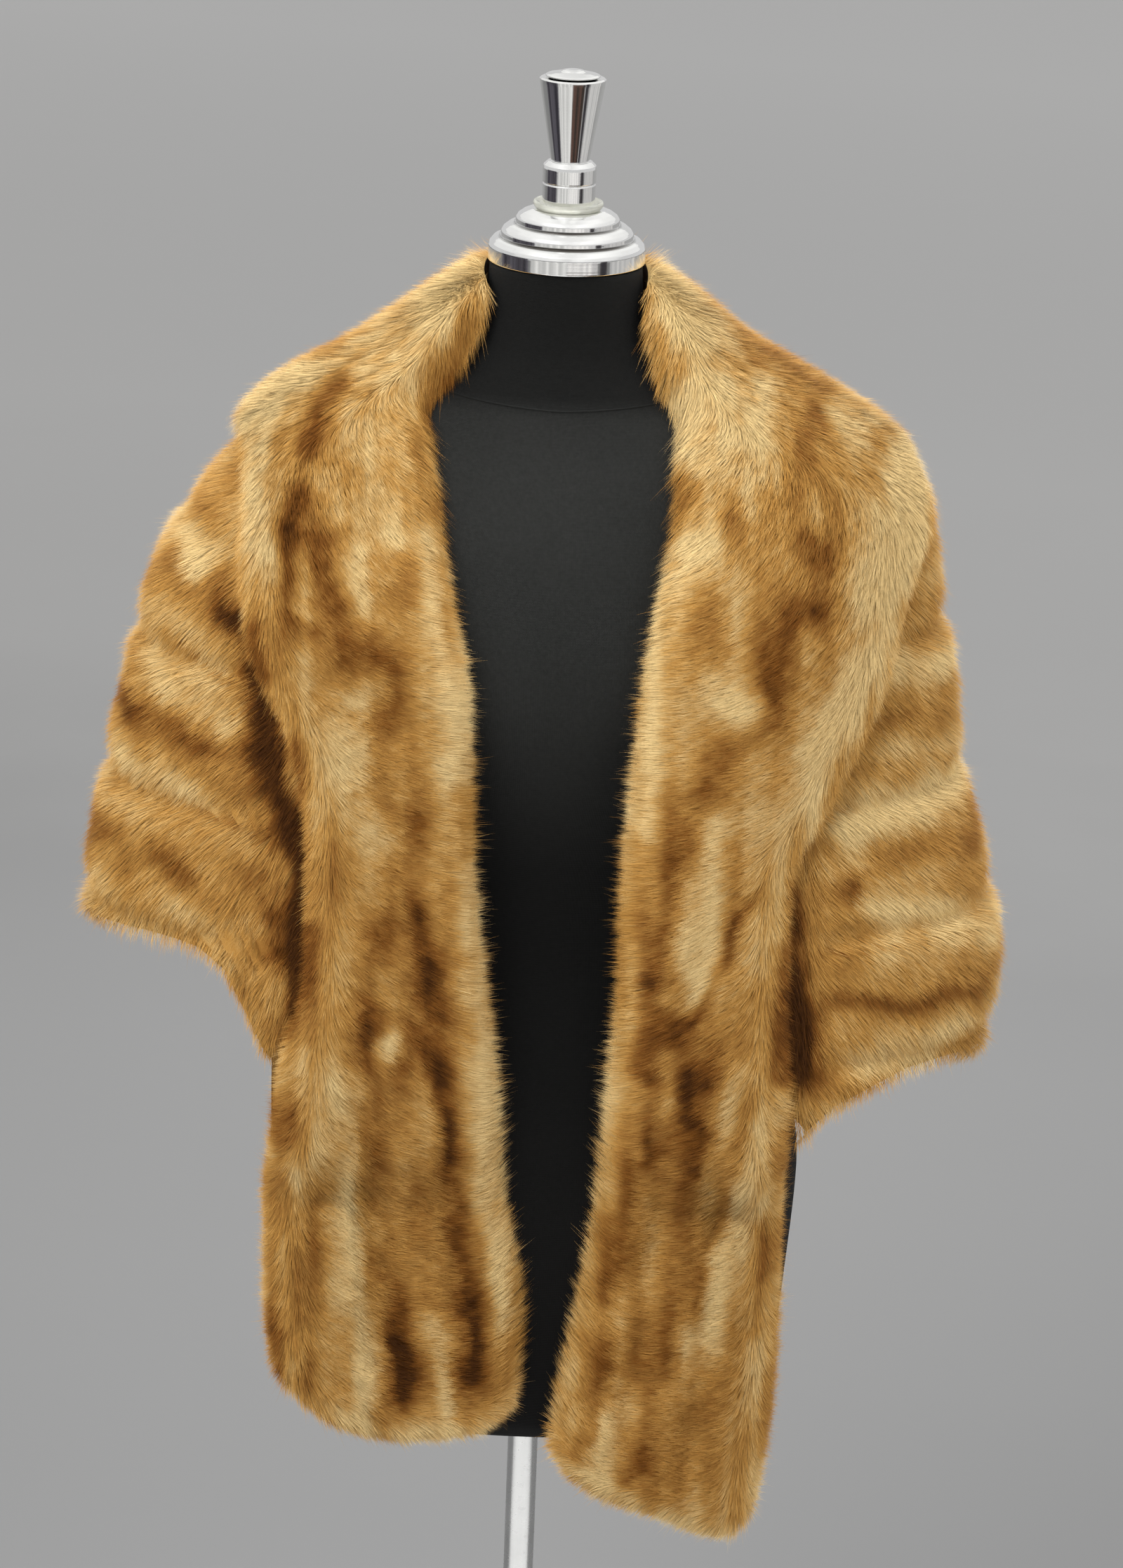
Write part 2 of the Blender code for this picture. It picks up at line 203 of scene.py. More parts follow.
soft_box("key_box", (-1.7, -2.2, 2.9), (0, 0, 1.1), (1.6, 1.6), 88)
soft_box("fill_box", (2.2, -2.0, 2.0), (0, 0, 1.0), (1.6, 1.8), 30)
soft_box("top_box", (0.2, 0.4, 3.2), (0, 0, 1.2), (1.8, 1.4), 36)
soft_box("back_box", (0.4, 2.4, 1.9), (0, 0, 1.1), (2.0, 1.2), 16)
# Dark and white cards stand round the camera for the chrome to mirror, as in a photographer's
# tent; only reflections see them. Each: the angles it spans from the front, its heights, its glow.
CARDS = [
    ("dark_card_left", -106, -56, 0.0, 1.45, (0.012, 0.012, 0.020), (0.060, 0.064, 0.085)),
    ("white_card_left", -52, 1, 0.0, 1.45, (0.52, 0.52, 0.51), (0.86, 0.86, 0.84)),
    ("dark_card_low", 2, 46, 0.0, 0.99, (0.010, 0.006, 0.004), (0.075, 0.034, 0.024)),
    ("white_card_right", 2, 46, 1.01, 1.45, (0.55, 0.54, 0.54), (0.92, 0.91, 0.89)),
    ("dark_card_right", 50, 61, 0.0, 1.45, (0.012, 0.012, 0.018), (0.060, 0.050, 0.050)),
    ("white_card_side", 66, 116, 0.0, 1.45, (0.42, 0.42, 0.42), (0.60, 0.60, 0.59)),
]
for name, start, end, low, high, dim, lit in CARDS:
    felt, tree, shader = finish(name, Roughness=1.0, Emission_Strength=1.0)
    apart = node(tree, "ShaderNodeSeparateXYZ", {}, {0: place(tree)})
    x, y, z = (Wire(tree, apart.socket.node.outputs[k]) for k in range(3))
    folds = noise(tree, node(tree, "ShaderNodeCombineXYZ", {}, {0: x * 6.0, 1: y * 6.0, 2: z * 0.8}), 1.0, 1)
    feed(tree, shader, Base_Color=tones(tree, folds, (0.3, (0.010, 0.008, 0.007)), (0.7, (0.034, 0.022, 0.015))),
         Emission_Color=tones(tree, folds, (0.36, dim), (0.64, lit)))
    bend = [math.radians(start + (end - start) * k / 8) for k in range(9)]
    foot = [Vector((1.7 * math.sin(a), -1.7 * math.cos(a), low)) for a in bend]
    top = [p + Vector((0, 0, high - low)) for p in foot]
    card = thing(name, foot + top, [(k, k + 1, k + 10, k + 9) for k in range(8)], felt)
    card.visible_camera = card.visible_diffuse = card.visible_shadow = False
# A white sheet on the floor before the stand and a ceiling with brighter and darker bands glow, though no lamps,
# and only reflections see them.
sheet, tree, shader = finish("white_sheet", Roughness=1.0, Emission_Strength=1.0)
weave = noise(tree, place(tree), 4.0, 4)
feed(tree, shader, Base_Color=tones(tree, weave, (0.3, (0.5, 0.5, 0.5)), (0.7, (0.6, 0.6, 0.6))),
     Emission_Color=tones(tree, weave, (0.3, (0.62, 0.62, 0.61)), (0.7, (0.80, 0.80, 0.79))))
ceiling, tree, shader = finish("ceiling", Roughness=1.0, Emission_Strength=1.0)
apart = node(tree, "ShaderNodeSeparateXYZ", {}, {0: place(tree)})
feed(tree, shader, Base_Color=tones(tree, noise(tree, place(tree), 3, 2), (0.4, (0.5, 0.5, 0.5)), (0.6, (0.6, 0.6, 0.6))),
     Emission_Color=tones(tree, apart / 10 + 0.5, (0.30, (0.66, 0.66, 0.65)), (0.42, (0.76, 0.76, 0.74)),
                          (0.475, (0.60, 0.60, 0.59)), (0.52, (0.56, 0.56, 0.55)), (0.60, (0.80, 0.80, 0.78)),
                          (0.75, (0.66, 0.66, 0.65))))
for name, x0, x1, y0, y1, z, card_finish in (("white_card_floor", -0.9, 0.9, -1.6, -0.2, 0.004, sheet),
                                             ("ceiling_card", -5.0, 5.0, -6.0, 6.0, 3.6, ceiling)):
    card = thing(name, [(x0, y0, z), (x1, y0, z), (x1, y1, z), (x0, y1, z)], [(0, 1, 2, 3)], card_finish)
    card.visible_camera = card.visible_diffuse = card.visible_shadow = False
room = bpy.data.worlds.new("grey_room")
room.use_nodes = True
room.node_tree.nodes["Background"].inputs["Color"].default_value = (0.64, 0.64, 0.64, 1)
room.node_tree.nodes["Background"].inputs["Strength"].default_value = 1.0
bpy.context.scene.world = room


# Stand: a chromed tube under the form and a low spun round base, both plain because the picture
# leaves them out. The tube stands in the base's collar and goes up into the form's flat underside.

FORM_BOTTOM = 600.0
FORM_TOP = 818.5
MM = 0.001


def soften(profile, least=0.35):
    """A turned profile with a small bevel at each corner and a ring beside it that keeps faces true."""
    points = [np.array(p, float) for p in profile]
    out = [points[0]]
    for before, here, after in zip(points, points[1:], points[2:]):
        arm = min(least, np.linalg.norm(before - here) / 3, np.linalg.norm(after - here) / 3)
        one = here + (before - here) / np.linalg.norm(before - here) * arm
        two = here + (after - here) / np.linalg.norm(after - here) * arm
        out += [one + (one - here) * 0.9, one, (one + two) / 4 + here / 2, two, two + (two - here) * 0.9]
    return out + [points[-1]]


def turned(name, profile, segments, material, lift=0.0):
    """A piece turned about the stand's axis from (radius, height) pairs, from the top down."""
    mesh = bmesh.new()
    rings = []
    for radius, height in profile:
        count = 1 if radius == 0 else segments
        rings.append([mesh.verts.new((radius * MM * math.cos(2 * math.pi * k / segments),
                                      radius * MM * math.sin(2 * math.pi * k / segments),
                                      (height + lift) * MM)) for k in range(count)])
    for top, low in zip(rings, rings[1:]):
        for k in range(segments):
            n = (k + 1) % segments
            if len(top) == 1:
                mesh.faces.new((top[0], low[k], low[n]))
            elif len(low) == 1:
                mesh.faces.new((top[k], low[0], top[n]))
            else:
                mesh.faces.new((top[k], low[k], low[n], top[n]))
    data = bpy.data.meshes.new(name)
    mesh.to_mesh(data)
    mesh.free()
    data.materials.append(material)
    data.shade_smooth()
    data.set_sharp_from_angle(angle=math.radians(28))
    made = bpy.data.objects.new(name, data)
    bpy.context.collection.objects.link(made)
    return made


def chrome(name, rough, wear, bright=0.9, groove_shade_heights=()):
    """Bright turned metal: faint rings from the lathe, wiping marks, a few dull spots, and a painted dark line in
    each listed groove, on the front only, as painted shade and reflection.
    """
    material, tree, shader = finish(name, Metallic=1.0)
    spot = place(tree)
    apart = node(tree, "ShaderNodeSeparateXYZ", {}, {0: spot})
    x, y, z = (Wire(tree, apart.socket.node.outputs[k]) for k in range(3))
    far = (x * x + y * y) ** 0.5
    rings = noise(tree, node(tree, "ShaderNodeCombineXYZ", {}, {0: far * 1.0, 1: z, 2: 0.0}), 900, 2)
    wiped = noise(tree, spot, 38, 5, 0.6)
    spots = noise(tree, spot, 210, 2)
    dull = tones(tree, spots, (0.62, (0, 0, 0)), (0.72, (1, 1, 1)))
    low, high = bright - 0.05, bright + 0.05
    metal = tones(tree, wiped, (0.2, (low, low, low * 0.99)), (0.8, (high, high, high * 0.99)))
    # Painted shade and reflection: a dark line in each groove, on the front side only.
    for height in groove_shade_heights:
        off = z * 1000 - height
        line = tones(tree, off * off / 2 + (y + 0.036) * 12, (0.05, (0.10, 0.09, 0.08)), (0.45, (1, 1, 1)))
        metal = node(tree, "ShaderNodeMix", {"data_type": "RGBA", "blend_type": "MULTIPLY"},
                     {0: 1.0, 6: metal, 7: line}, out=2)
    feed(tree, shader, Roughness=rough + wear * wiped * 0.5 + wear * dull * 0.35 + rings * 0.03,
         Base_Color=metal,
         Normal=relief(tree, rings, 0.00006, 0.5))
    return material


stand_chrome = chrome("stand_chrome", 0.20, 0.20, 0.52)
POLE = 11.0
pole = turned("pole", soften([(0, FORM_BOTTOM - 0.3), (POLE, FORM_BOTTOM - 0.3), (POLE, 22.3),
                              (0, 22.3)]), 96, stand_chrome)
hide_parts("stand_pole")
base = turned("base", soften([(0, 22), (26, 22), (30, 20), (60, 15), (140, 9), (149, 7), (150, 5),
                              (150, 0), (0, 0)], 0.8), 160, stand_chrome)
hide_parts("stand_base")
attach(pole, "root")
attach(base, "root")


# Form: a padded papier-mache body without arms, covered in black knitted jersey that is stretched
# over it and sewn in one seam round the neck's root.
# Columns: height, half width left, half width right, depth to the front, depth to the back.
FORM = [
    (0, 170, 170, 106, 90),
    (14, 177, 177, 113, 97),
    (90, 184, 184, 119, 103),
    (175, 188, 188, 122, 105),
    (240, 178, 178, 117, 102),
    (310, 148, 148, 104, 92),
    (400, 122, 122, 92, 82),
    (480, 131, 131, 104, 88),
    (540, 145, 145, 120, 97),
    (580, 153, 153, 125, 102),
    (620, 166, 166, 119, 106),
    (665, 183, 183, 105, 104),
    (695, 185, 185, 92, 97),
    (712, 168, 168, 83, 90),
    (728, 132, 132, 74, 81),
    (742, 98, 98, 66, 73),
    (755, 72, 72, 59, 65),
    (770, 58, 58, 53, 57),
    (790, 52, 52, 50, 52),
    (818.5, 50, 50, 49, 50),
]
ROUND = 2.3              # exponent of the rounded oval sections


def smooth(x, xs, ys):
    """Values at x of a smooth curve through the points (xs, ys), level past its ends."""
    xs, ys = np.asarray(xs, float), np.asarray(ys, float)
    chords = np.diff(ys) / np.diff(xs)
    slopes = np.zeros(len(xs))
    slopes[0], slopes[-1] = chords[0], chords[-1]
    before, after = chords[:-1], chords[1:]
    turns = before * after <= 0
    slopes[1:-1] = np.where(turns, 0, 2 * before * after / np.where(turns, 1, before + after))
    x = np.clip(np.asarray(x, float), xs[0], xs[-1])
    i = np.clip(np.searchsorted(xs, x, side="right") - 1, 0, len(xs) - 2)
    span = xs[i + 1] - xs[i]
    u = (x - xs[i]) / span
    return (ys[i] * (1 + 2 * u) * (1 - u) ** 2 + slopes[i] * span * u * (1 - u) ** 2
            + ys[i + 1] * u * u * (3 - 2 * u) - slopes[i + 1] * span * u * u * (1 - u))


def column(table, index, height):
    return smooth(height, [row[0] for row in table], [row[index] for row in table])


def oval(table, angle, height):
    """Radius of a section at a height; the angle runs from the front (0) towards +X."""
    left, right, front, back = (column(table, k, height) for k in (1, 2, 3, 4))
    side = np.where(np.sin(angle) > 0, right, left)
    depth = np.where(np.cos(angle) > 0, front, back)
    total = (np.abs(np.sin(angle)) / side) ** ROUND + (np.abs(np.cos(angle)) / depth) ** ROUND
    return total ** (-1 / ROUND)


def at(angle, height, radius):
    return np.stack(np.broadcast_arrays(radius * np.sin(angle), -radius * np.cos(angle),
                                        np.asarray(height, float)), axis=-1)


def metres(points):
    """Points in the tables' millimetres, as the meshes hold them."""
    return (np.asarray(points, float).reshape(-1, 3) + (0, 0, FORM_BOTTOM)) * MM


jersey, tree, shader = finish("black_jersey", Sheen_Weight=0.025, Specular_IOR_Level=0.2, Sheen_Roughness=0.45,
                              Sheen_Tint=(0.55, 0.56, 0.60, 1))
spot = place(tree)
stitches = node(tree, "ShaderNodeUVMap", {"uv_map": "knit"})
apart = node(tree, "ShaderNodeSeparateXYZ", {}, {0: stitches})
wale, course = (Wire(tree, apart.socket.node.outputs[k]) for k in (0, 1))
rib = (wale * (2 * math.pi / 1.1)).sum("SINE", wale * (2 * math.pi / 1.1))
loop = (course * (2 * math.pi / 0.8)).sum("SINE", course * (2 * math.pi / 0.8) + rib * 0.8)
knit = rib * 0.5 + loop * 0.35
fuzz = noise(tree, spot, 420, 3, 0.6)
worn = noise(tree, spot, 14, 3)
# The knit's colour is painted by height: palest over the chest, partly the grey ground showing where the knit is
# stretched most and partly painted light on the upper chest; darker up the neck, and much darker towards the
# bottom as painted shade.
apart = node(tree, "ShaderNodeSeparateXYZ", {}, {0: spot})
tall = Wire(tree, apart.socket.node.outputs[2])
stretch_and_painted_light = tones(tree, (tall - 0.6) / 0.82, (0.0, (0.03, 0.03, 0.03)), (0.30, (0.13, 0.13, 0.13)),
                  (0.52, (0.24, 0.24, 0.24)), (0.68, (0.95, 0.95, 0.95)), (0.84, (1.0, 1.0, 1.0)),
                  (0.89, (0.85, 0.85, 0.85)), (0.905, (0.32, 0.32, 0.32)))
yarn = tones(tree, fuzz * 0.6 + worn * 0.4 + knit * 0.08, (0.25, (0.0125, 0.0130, 0.0120)),
             (0.75, (0.0265, 0.0272, 0.0255)))
feed(tree, shader, Roughness=0.78 + worn * 0.14,
     Base_Color=node(tree, "ShaderNodeMix", {"data_type": "RGBA", "blend_type": "MULTIPLY"},
                     {0: 1.0, 6: yarn, 7: stretch_and_painted_light}, out=2),
     Normal=relief(tree, knit + fuzz * 0.7, 0.00022, 0.8))

ring_count = 112
turn = np.linspace(-math.pi, math.pi, ring_count + 1)[:-1]
levels = np.concatenate((np.linspace(0, 14, 5), np.linspace(22, 690, 62), np.linspace(696, 818.5, 32)))
body_points = at(turn[None, :], levels[:, None], oval(FORM, turn[None, :], levels[:, None]))
faces = []
for i in range(len(levels) - 1):
    for k in range(ring_count):
        n = (k + 1) % ring_count
        faces.append((i * ring_count + k, i * ring_count + n, (i + 1) * ring_count + n,
                      (i + 1) * ring_count + k))
faces.append([k for k in reversed(range(ring_count))])
faces.append([(len(levels) - 1) * ring_count + k for k in range(ring_count)])
form = thing("jersey_form", metres(body_points), faces, jersey)
knit_map = form.data.uv_layers.new(name="knit")
corner = np.zeros(len(form.data.loops), dtype=np.int32)
form.data.loops.foreach_get("vertex_index", corner)
around = (corner % ring_count) * (1100.0 / ring_count)
start = np.zeros(len(form.data.polygons), dtype=np.int32)
form.data.polygons.foreach_get("loop_start", start)
for first in start[:-2]:
    if around[first:first + 4].max() - around[first:first + 4].min() > 500:
        part = around[first:first + 4]
        part[part < 500] += 1100.0
knit_map.data.foreach_set("uv", np.column_stack((around, levels[corner // ring_count])).ravel())
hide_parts("form_torso")
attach(form, "root")

# The seam round the neck's root: a narrow turned-in ridge of the same jersey, dipping in front.
seam_turn = np.linspace(-math.pi, math.pi, 161)[:-1]
seam_height = 735.0 + 11.0 * (1 - np.cos(seam_turn)) ** 0.8
seam_out = oval(FORM, seam_turn, seam_height)
ridge, faces, sides = [], [], 6
for k, (a, h, r) in enumerate(zip(seam_turn, seam_height, seam_out)):
    for j in range(sides):
        roll_angle = 2 * math.pi * j / sides
        ridge.append(at(a, h + 0.75 * math.sin(roll_angle), r + 0.15 + 0.55 * math.cos(roll_angle)))
for k in range(160):
    for j in range(sides):
        n, m = (k + 1) % 160, (j + 1) % sides
        faces.append((k * sides + j, n * sides + j, n * sides + m, k * sides + m))
ridge_piece = thing("neck_seam", metres(ridge), faces, jersey)
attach(ridge_piece, "root")


# Neck cap, washer and finial: turned and chromed metal on the form's neck, in stepped cones, with a
# cloudy plastic washer under a finial of two rings, a flared cone and a loose disc on top.
CAP = FORM_BOTTOM + FORM_TOP + 0.3
cap_chrome = chrome("cap_chrome", 0.06, 0.08, 0.9, (CAP + 24.9, CAP + 16.1))
neck_cap = turned("stepped_neck_cap", soften([
    (0, 33.8), (21.6, 33.8), (23.6, 34.8), (25.2, 34.2), (29.5, 32.5), (32.6, 30.4), (34.0, 28.4),
    (34.2, 25.0), (35.4, 24.8), (39.0, 23.6), (42.0, 21.4), (43.4, 19.4), (43.6, 16.2), (45.0, 16.0),
    (48.4, 14.6), (50.7, 12.2), (51.6, 10.2), (51.7, 9.2), (51.7, 0.8), (50.8, 0), (0, 0)], 0.45),
    144, cap_chrome, CAP)
cloudy, tree, shader = finish("cloudy_plastic", Transmission_Weight=0.7, IOR=1.49, Coat_Weight=0.5)
milky = noise(tree, place(tree), 160, 4, 0.6)
feed(tree, shader, Base_Color=tones(tree, milky, (0.3, (0.78, 0.78, 0.68)), (0.7, (0.95, 0.95, 0.87))),
     Roughness=0.22 + milky * 0.3)
washer = turned("cloudy_washer", soften([
    (0, 37.6), (18.4, 37.6), (20.4, 39.4), (22.0, 39.8), (23.0, 38.8), (22.9, 37.0), (21.8, 35.2), (20.2, 34.0),
    (0, 34.0)], 0.5), 96, cloudy, CAP)
knob = turned("ringed_finial", soften([
    (0, 119.6), (20.6, 119.6), (21.6, 118.8), (21.4, 116.8), (12.6, 66.0), (14.6, 65.6),
    (17.2, 63.2), (17.6, 61.2), (17.6, 52.4), (16.8, 51.6), (17.4, 50.8), (17.4, 40.6),
    (16.8, 37.7), (0, 37.7)], 0.3), 112, cap_chrome, CAP)
disc = turned("finial_disc", soften([
    (0, 125.0), (4.0, 124.9), (6.8, 124.3), (8.2, 123.3), (12.0, 122.8), (16.4, 121.9), (17.8, 121.2),
    (17.8, 120.5), (16.6, 120.0), (13.0, 119.9), (0, 119.9)], 0.3), 112, cap_chrome, CAP)
for piece, name in ((neck_cap, "neck_cap"), (washer, "cap_washer"), (knob, "finial"),
                    (disc, "finial_top")):
    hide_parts(name)
    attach(piece, "root")


# Cape: dressed mink skins, let out into long strips and sewn in puffed rows round the back and over
# the upper arms; its fronts run on under the collar. A pelt is leather with dense fur on it, so
# each garment piece is a pelt and, on it, the hair.
# Columns: height, half width left, half width right, depth to the front, depth to the back.
DRAPE = [
    (-75, 214, 214, 121, 110),
    (180, 216, 216, 122, 112),
    (240, 264, 286, 126, 118),
    (300, 301, 305, 127, 121),
    (345, 308, 307, 127, 121),
    (400, 302, 296, 127, 120),
    (460, 291, 277, 127, 119),
    (520, 278, 265, 128, 117),
    (580, 265, 254, 127, 115),
    (630, 243, 244, 119, 112),
    (665, 219, 236, 108, 107),
    (680, 205, 222, 102, 103),
    (695, 191, 204, 94, 99),
    (712, 168, 168, 83, 90),
    (742, 98, 98, 66, 73),
    (818.5, 50, 50, 49, 50),
]
# Edges of the stole, in x at each height.
# Columns: height, inner edge left, inner edge right, outer edge of panel left, outer edge right.
EDGES = [
    (-84, -40, 60, -120, 158),
    (-50, -30, 30, -130, 166),
    (-10, -10, 12, -150, 171),
    (20, -3, 15, -166, 174),
    (50, -1, 20, -176, 175),
    (100, -2, 27, -180, 174),
    (150, -6, 32, -180, 172),
    (200, -12, 38, -181, 171),
    (250, -18, 43, -181, 169),
    (300, -25, 47, -180, 167),
    (360, -34, 50, -157, 155),
    (430, -44, 49, -161, 163),
    (500, -48, 52, -163, 168),
    (560, -50, 57, -178, 190),
    (620, -61, 65, -196, 212),
    (680, -72, 72, -207, 228),
    (730, -77, 67, -212, 230),
    (765, -62, 57, -212, 230),
    (800, -48, 52, -212, 230),
]
# Columns: angle from the front in degrees, hem height left, hem height right.
HEM = [
    (0, 300, 300),
    (55, 300, 300),
    (57, 293, 285),
    (59.2, 280, 230),
    (61, 304, 244),
    (63, 332, 256),
    (67.5, 354, 268),
    (72.5, 357, 280),
    (77, 355, 281),
    (84, 348, 272),
    (90, 338, 258),
    (135, 316, 276),
    (180, 298, 298),
]
PELT = 16.0              # one layer of pelt with its fur, mm
CAPE_TOP = 751.0
SET_BACK = 26.0          # how far the cape's front edge stands back under the collar
SEAM = 300.0             # where the cape's fronts end and the panels hang on


def drape_radius(angle, height):
    inside = oval(FORM, angle, np.clip(height, 0, FORM_TOP)) + smooth(height, [660, 700], [0.7, 2.5])
    return np.maximum(oval(DRAPE, angle, height), inside)


def drape_normal(angle, height):
    step, lift = 0.01, 3.0
    wide = (at(angle + step, height, drape_radius(angle + step, height))
            - at(angle - step, height, drape_radius(angle - step, height)))
    tall = (at(angle, height + lift, drape_radius(angle, height + lift))
            - at(angle, height - lift, drape_radius(angle, height - lift)))
    return unit(np.cross(wide, tall))


def unit(vectors):
    return vectors / np.maximum(np.linalg.norm(vectors, axis=-1, keepdims=True), 1e-9)


def drape(angle, height, out=0.0):
    """Points on the draped surface, moved out along its own normal."""
    return at(angle, height, drape_radius(angle, height)) + np.asarray(out)[..., None] * drape_normal(
        angle, height)


def angle_at(x, height, table):
    """Angles at which the sections pass the given x, on the front."""
    low, high = np.zeros(np.shape(x)), np.full(np.shape(x), math.radians(88))
    sign = np.where(x > 0, 1, -1)
    for _ in range(30):
        mid = (low + high) / 2
        inside = oval(table, sign * mid, height) * np.sin(mid) < np.abs(x)
        low, high = np.where(inside, mid, low), np.where(inside, high, mid)
    return sign * low


def rounding(distance, radius, least):
    """Share of the full thickness at a distance in from an edge."""
    u = np.clip(distance / radius, 0, 1)
    return least + (1 - least) * np.sqrt(1 - (1 - u) ** 2)


def ripple(points, wave, seed, count=7):
    """Soft irregular swelling between about -1 and 1, of a wavelength in mm, the same each time."""
    dice = np.random.default_rng(seed)
    total = 0.0
    for _ in range(count):
        way = unit(dice.normal(size=3)) * 2 * math.pi / (wave * dice.uniform(0.7, 1.5))
        total = total + np.sin(points @ way + dice.uniform(0, 2 * math.pi))
    return total / (count / 2) ** 0.5 / 1.4


def grid_way(points, axis):
    """Unit direction in which a grid of points runs along one of its axes."""
    return unit(np.gradient(points, axis=axis))


def stroke(points, path, width, strength):
    """Colour laid along a path seen from the front, given as x and height, fading to its sides."""
    p = points[..., [0, 2]]
    nearest = np.full(p.shape[:-1], 1e9)
    if len(path) == 1:
        nearest = np.linalg.norm(p - np.array(path[0], float), axis=-1)
    for a, b in zip(path, path[1:]):
        a, b = np.array(a, float), np.array(b, float)
        share = np.clip(((p - a) @ (b - a)) / ((b - a) @ (b - a)), 0, 1)
        nearest = np.minimum(nearest, np.linalg.norm(p - a - share[..., None] * (b - a), axis=-1))
    return strength * np.exp(-(nearest / width) ** 2)


# The fur's own colours, from the palest sides of a skin to the dark band down its middle; the darkest also serves
# for painted shadow in the gaps between the pieces.
PALE = (1.0, 0.73, 0.335)
HONEY = (0.66, 0.345, 0.082)
BROWN = (0.270, 0.098, 0.014)
DEEP_AND_GAP_SHADE = (0.058, 0.019, 0.003)

hair_finish, tree, shader = finish("mink_hair", Specular_IOR_Level=0.12, Sheen_Weight=0.025,
                                   Sheen_Roughness=0.4, Sheen_Tint=(1.0, 0.86, 0.62, 1))
stripe, along, shade = (node(tree, "ShaderNodeAttribute", {"attribute_name": name}, out="Fac")
                        for name in ("stripe", "along", "shade"))
speck = noise(tree, place(tree), 260, 2)
# This tone carries the skins' own stripes and marks, and also the painted shadow laid into the gaps.
tone = stripe + (shade - 0.5) * 0.20 + (speck - 0.5) * 0.10
skin_tone = tones(tree, tone, (0.0, PALE), (0.36, HONEY), (0.74, BROWN), (1.0, DEEP_AND_GAP_SHADE))
# Painted shade: each hair darker at its root, down among the other hairs, and paler towards its tip.
depth = tones(tree, along, (0.0, (0.73, 0.68, 0.61)), (0.55, (0.97, 0.95, 0.92)), (1.0, (1.12, 1.14, 1.18)))
mixed = node(tree, "ShaderNodeMix", {"data_type": "RGBA", "blend_type": "MULTIPLY"},
             {0: 1.0, 6: skin_tone, 7: depth}, out=2)
faces_out = node(tree, "ShaderNodeAttribute", {"attribute_name": "facing"}, out="Vector")
feed(tree, shader, Base_Color=mixed, Roughness=0.66 - along * 0.12, Normal=faces_out)

under_fur, tree, shader = finish("under_fur", Specular_IOR_Level=0.05)
stripe = node(tree, "ShaderNodeAttribute", {"attribute_name": "stripe"}, out="Fac")
wool = noise(tree, place(tree), 900, 3, 0.7)
# The same tone here: the skins' own stripes and marks, with painted shadow in the gaps.
skin_tone = tones(tree, stripe + (wool - 0.5) * 0.24, (0.0, (0.74, 0.52, 0.22)), (0.36, (0.46, 0.235, 0.056)),
                  (0.74, (0.19, 0.072, 0.013)), (1.0, (0.045, 0.016, 0.003)))
feed(tree, shader, Base_Color=skin_tone, Roughness=0.85 + wool * 0.1, Normal=relief(tree, wool, 0.0006, 0.7))

skin_side, tree, shader = finish("dressed_skin", Sheen_Weight=0.2)
suede = noise(tree, place(tree), 500, 4, 0.65)
feed(tree, shader, Base_Color=tones(tree, suede, (0.3, (0.30, 0.19, 0.09)), (0.7, (0.44, 0.30, 0.16))),
     Roughness=0.75 + suede * 0.2, Normal=relief(tree, suede, 0.0003, 0.6))


def pelt(name, inner, outer, paint):
    """Closed pelt from two grids of points: skin side in, fur side out, joined round the rims."""
    keep = [[k for k in range(n) if k % 2 == 0 or k > n - 2] for n in inner.shape[:2]]
    inner, outer = inner[keep[0]][:, keep[1]], outer[keep[0]][:, keep[1]]
    rows, cols = inner.shape[:2]
    count = rows * cols
    index = np.arange(count).reshape(rows, cols)
    quads = []
    for a, b, c, d in zip(index[:-1, :-1].ravel(), index[1:, :-1].ravel(), index[1:, 1:].ravel(),
                          index[:-1, 1:].ravel()):
        quads.append((a, b, c, d))
    quads = np.array(quads)
    rim = np.concatenate((index[:-1, 0], index[-1, :-1], index[:0:-1, -1], index[0, :0:-1]))
    after = np.roll(rim, -1)
    edge = np.column_stack((rim, rim + count, after + count, after))
    faces = np.vstack((quads, quads[:, ::-1] + count, edge))
    made = thing(name, metres(np.concatenate((inner.reshape(-1, 3), outer.reshape(-1, 3)))),
                 faces.tolist(), under_fur, skin_side)
    side = np.zeros(len(faces), dtype=np.int32)
    side[:len(quads)] = 1
    made.data.polygons.foreach_set("material_index", side)
    mesh = bmesh.new()
    mesh.from_mesh(made.data)
    bmesh.ops.recalc_face_normals(mesh, faces=mesh.faces)
    mesh.to_mesh(made.data)
    mesh.free()
    tint = made.data.attributes.new("stripe", "FLOAT", "POINT")
    points = np.concatenate((inner.reshape(-1, 3), outer.reshape(-1, 3)))
    tint.data.foreach_set("value", paint(points).astype(np.float32))
    return made


